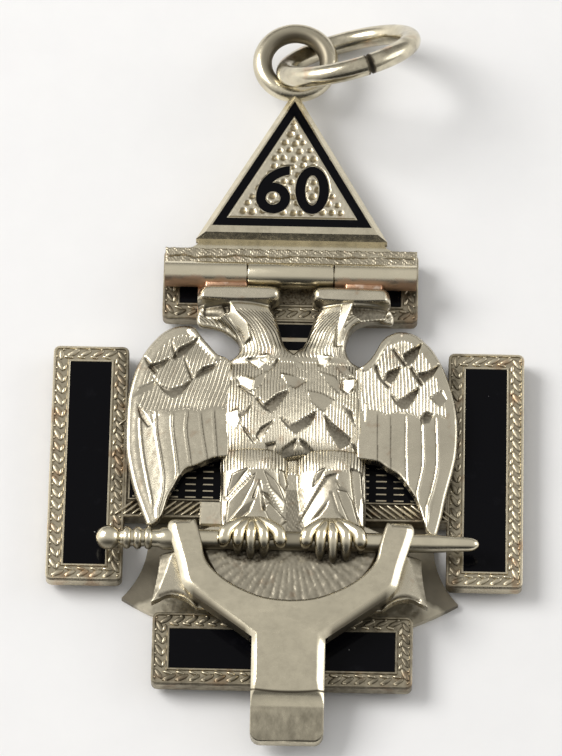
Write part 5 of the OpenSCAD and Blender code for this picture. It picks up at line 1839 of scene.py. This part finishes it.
def build_field():
    """The triangle's field: round pits on a matt ground, lower where the numerals lie"""
    s = bpy.context.scene.fob_hanger
    low, high = box_mm("enamel_triangle")
    slope = (high[1] - low[1]) / ((high[0] - low[0]) / 2)
    reach = math.sqrt(1 + slope * slope)
    band = 0.62 + 2 * FIELD_INSET
    base = low[1] + band
    apex = high[1] - band * reach
    half = (apex - base) / slope
    corners = [(-half, base), (half, base), (0, apex)]
    f = Relief(loop_points(cornered(corners), 1), 0.05, 0.05, TRI_FACE - 0.25)
    pitch, radius = s.pit_pitch / MM, s.pit_radius / MM
    rng = np.random.default_rng(bpy.context.scene.fob_stage.seed)
    pits = np.zeros(len(f.x))
    rows = int((apex - base) / (0.86 * pitch))
    for j in range(rows):
        y = base + 0.42 + 0.86 * pitch * j
        width = (apex - y) / slope - 0.3
        count = max(1, int(2 * width / pitch + 0.6))
        for i in range(count):
            x = (i - (count - 1) / 2) * pitch
            x, y_here = x + rng.normal(0, 0.07), y + rng.normal(0, 0.06)
            size = radius * rng.uniform(0.8, 1.15)
            pits = np.maximum(pits, np.clip(1 - ((f.x - x) ** 2 + (f.y - y_here) ** 2) / size ** 2, 0, 1))
    f.h += 0.36 - 0.11 * np.sqrt(pits)
    f.darken(0.85 * np.clip(pits * 2, 0, 1))
    f.grain(0.3, 0.006, 23)
    for name in ("numeral_left", "numeral_right"):
        away = distance_from(name, f.x, f.y, 0.3)
        f.h = np.minimum(f.h, 0.1 + 0.27 * smoothstep(away, 0.0, 0.08))
        f.darken(0.5 * (1 - smoothstep(away, 0.02, 0.2)))
    return f.build("hanger_field", patina_gain=1.5)


class FOB_OT_hanger(bpy.types.Operator):
    """Finish the triangular hanger with its pitted field, stippled foot, eye and ring"""
    bl_idname = "fob.hanger"
    bl_label = "Hanger"

    def execute(self, context):
        dress(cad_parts["hanger"], "hanger_metal")
        dress(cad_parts["jump_ring"], "wire_metal")
        for name in ("enamel_triangle", "numeral_left", "numeral_right"):
            dress(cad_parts[name], "black_enamel")
        dress(build_foot(), "stippled_metal", "cross")
        dress(build_field(), "field_metal", "cross")
        return {"FINISHED"}


# Stage

class FOB_OT_stage(bpy.types.Operator):
    """Set the pale floor, the soft studio light and the camera"""
    bl_idname = "fob.stage"
    bl_label = "Floor, light and camera"

    def execute(self, context):
        s = context.scene.fob_stage
        bpy.ops.mesh.primitive_circle_add(vertices=96, radius=0.6, fill_type="NGON", location=(0, 0, 0))
        floor = context.object
        floor.name = "floor"
        floor.data.materials.append(finish("pale_floor"))
        key = self.softbox("key", (-0.42, 0.16, 0.42), (0.32, 0.32), s.key, (1.0, 0.985, 0.96))
        fill = self.softbox("fill", (0.52, 0.12, 0.22), (0.3, 0.3), s.fill, (0.97, 0.985, 1.0))
        self.room(s.sky)
        camera = self.camera(s)
        context.scene.view_settings.view_transform = "Standard"
        return {"FINISHED"}

    def softbox(self, name, place, size, power, colour):
        """A rectangular light that faces the fob"""
        light = bpy.data.lights.new(name, "AREA")
        light.shape = "RECTANGLE"
        light.size, light.size_y = size
        light.energy = power
        light.color = colour
        obj = placed(name, light)
        obj.location = place
        obj.rotation_euler = (-Vector(place)).to_track_quat("-Z", "Y").to_euler()
        return obj

    def room(self, brightness):
        """Surroundings that are bright at the sides and above, and dim towards the camera"""
        world = bpy.data.worlds.new("studio")
        bpy.context.scene.world = world
        world.use_nodes = True
        tree = world.node_tree
        tree.nodes.clear()
        way = node(tree, "ShaderNodeTexCoord").outputs["Generated"]
        x, y, z = parts(tree, way)
        height = spread(tree, z, 0.1, 0.7, 0.0, 1.0)
        ends = spread(tree, height, 0, 1, 0.36, 1.0)
        left = spread(tree, x, -0.5, -0.9, 0.0, 1.9)
        right = spread(tree, x, 0.55, 0.95, 0.0, 1.1)
        walls = calc(tree, "ADD", left, right)
        near = spread(tree, y, -0.85, -0.45, 0.12, 1.0)
        near_wall = spread(tree, y, -0.4, 0.1, 0.2, 1.0)
        both = calc(tree, "ADD", calc(tree, "MULTIPLY", ends, near),
                    calc(tree, "MULTIPLY", walls, near_wall))
        level = calc(tree, "MULTIPLY", both, brightness)
        colour = node(tree, "ShaderNodeBackground", {
            "Color": (1.0, 0.985, 0.955, 1.0), "Strength": level})
        node(tree, "ShaderNodeOutputWorld", {"Surface": colour.outputs["Background"]})

    def camera(self, s):
        """A camera at the photo's elevation, turned a little about the upright axis"""
        sin_t, cos_t = math.sin(s.roll), math.cos(s.roll)
        lean = math.pi / 2 - s.elevation
        ahead = Vector((-sin_t * math.sin(lean), cos_t * math.sin(lean), -math.cos(lean)))
        up = Vector((-sin_t * math.cos(lean), cos_t * math.cos(lean), math.sin(lean)))
        right = Vector((cos_t, sin_t, 0))
        data = bpy.data.cameras.new("camera")
        data.lens = s.lens
        data.clip_start = 0.01
        camera = placed("camera", data)
        place = Vector(s.aim) - ahead * s.distance
        camera.matrix_world = Matrix((
            (right.x, up.x, -ahead.x, place.x), (right.y, up.y, -ahead.y, place.y),
            (right.z, up.z, -ahead.z, place.z), (0, 0, 0, 1)))
        bpy.context.scene.camera = camera
        return camera


STEPS = (
    FOB_OT_cross, FOB_OT_milling, FOB_OT_arm_pattern, FOB_OT_wings, FOB_OT_body, FOB_OT_legs,
    FOB_OT_tail, FOB_OT_sword, FOB_OT_yoke, FOB_OT_hinge, FOB_OT_hanger, FOB_OT_stage)


class FOB_PT_panel(bpy.types.Panel):
    """The fob's steps and settings in the sidebar"""
    bl_label = "Watch fob"
    bl_idname = "FOB_PT_panel"
    bl_space_type = "VIEW_3D"
    bl_region_type = "UI"
    bl_category = "Watch fob"

    def draw(self, context):
        for step in STEPS:
            self.layout.operator(step.bl_idname)
        for key in GROUPS:
            box = self.layout.box()
            settings = getattr(context.scene, key)
            for name in settings.__annotations__:
                box.prop(settings, name)


GROUPS = {
    "fob_finish": FobFinish, "fob_casting": FobCasting, "fob_cross": FobCross,
    "fob_hanger": FobHanger, "fob_yoke": FobYoke, "fob_stage": FobStage}
CLASSES = (*GROUPS.values(), *STEPS, FOB_PT_panel)


def register():
    for item in CLASSES:
        bpy.utils.register_class(item)
    for key, group in GROUPS.items():
        setattr(bpy.types.Scene, key, PointerProperty(type=group))


def unregister():
    for key in GROUPS:
        delattr(bpy.types.Scene, key)
    for item in reversed(CLASSES):
        bpy.utils.unregister_class(item)


def main():
    register()
    bpy.ops.fob.cross()
    bpy.ops.fob.milling()
    bpy.ops.fob.arm_pattern()
    bpy.ops.fob.wings()
    bpy.ops.fob.body()
    bpy.ops.fob.legs()
    bpy.ops.fob.tail()
    bpy.ops.fob.sword()
    bpy.ops.fob.yoke()
    bpy.ops.fob.hinge()
    bpy.ops.fob.hanger()
    bpy.ops.fob.stage()


if __name__ == "__main__":
    main()
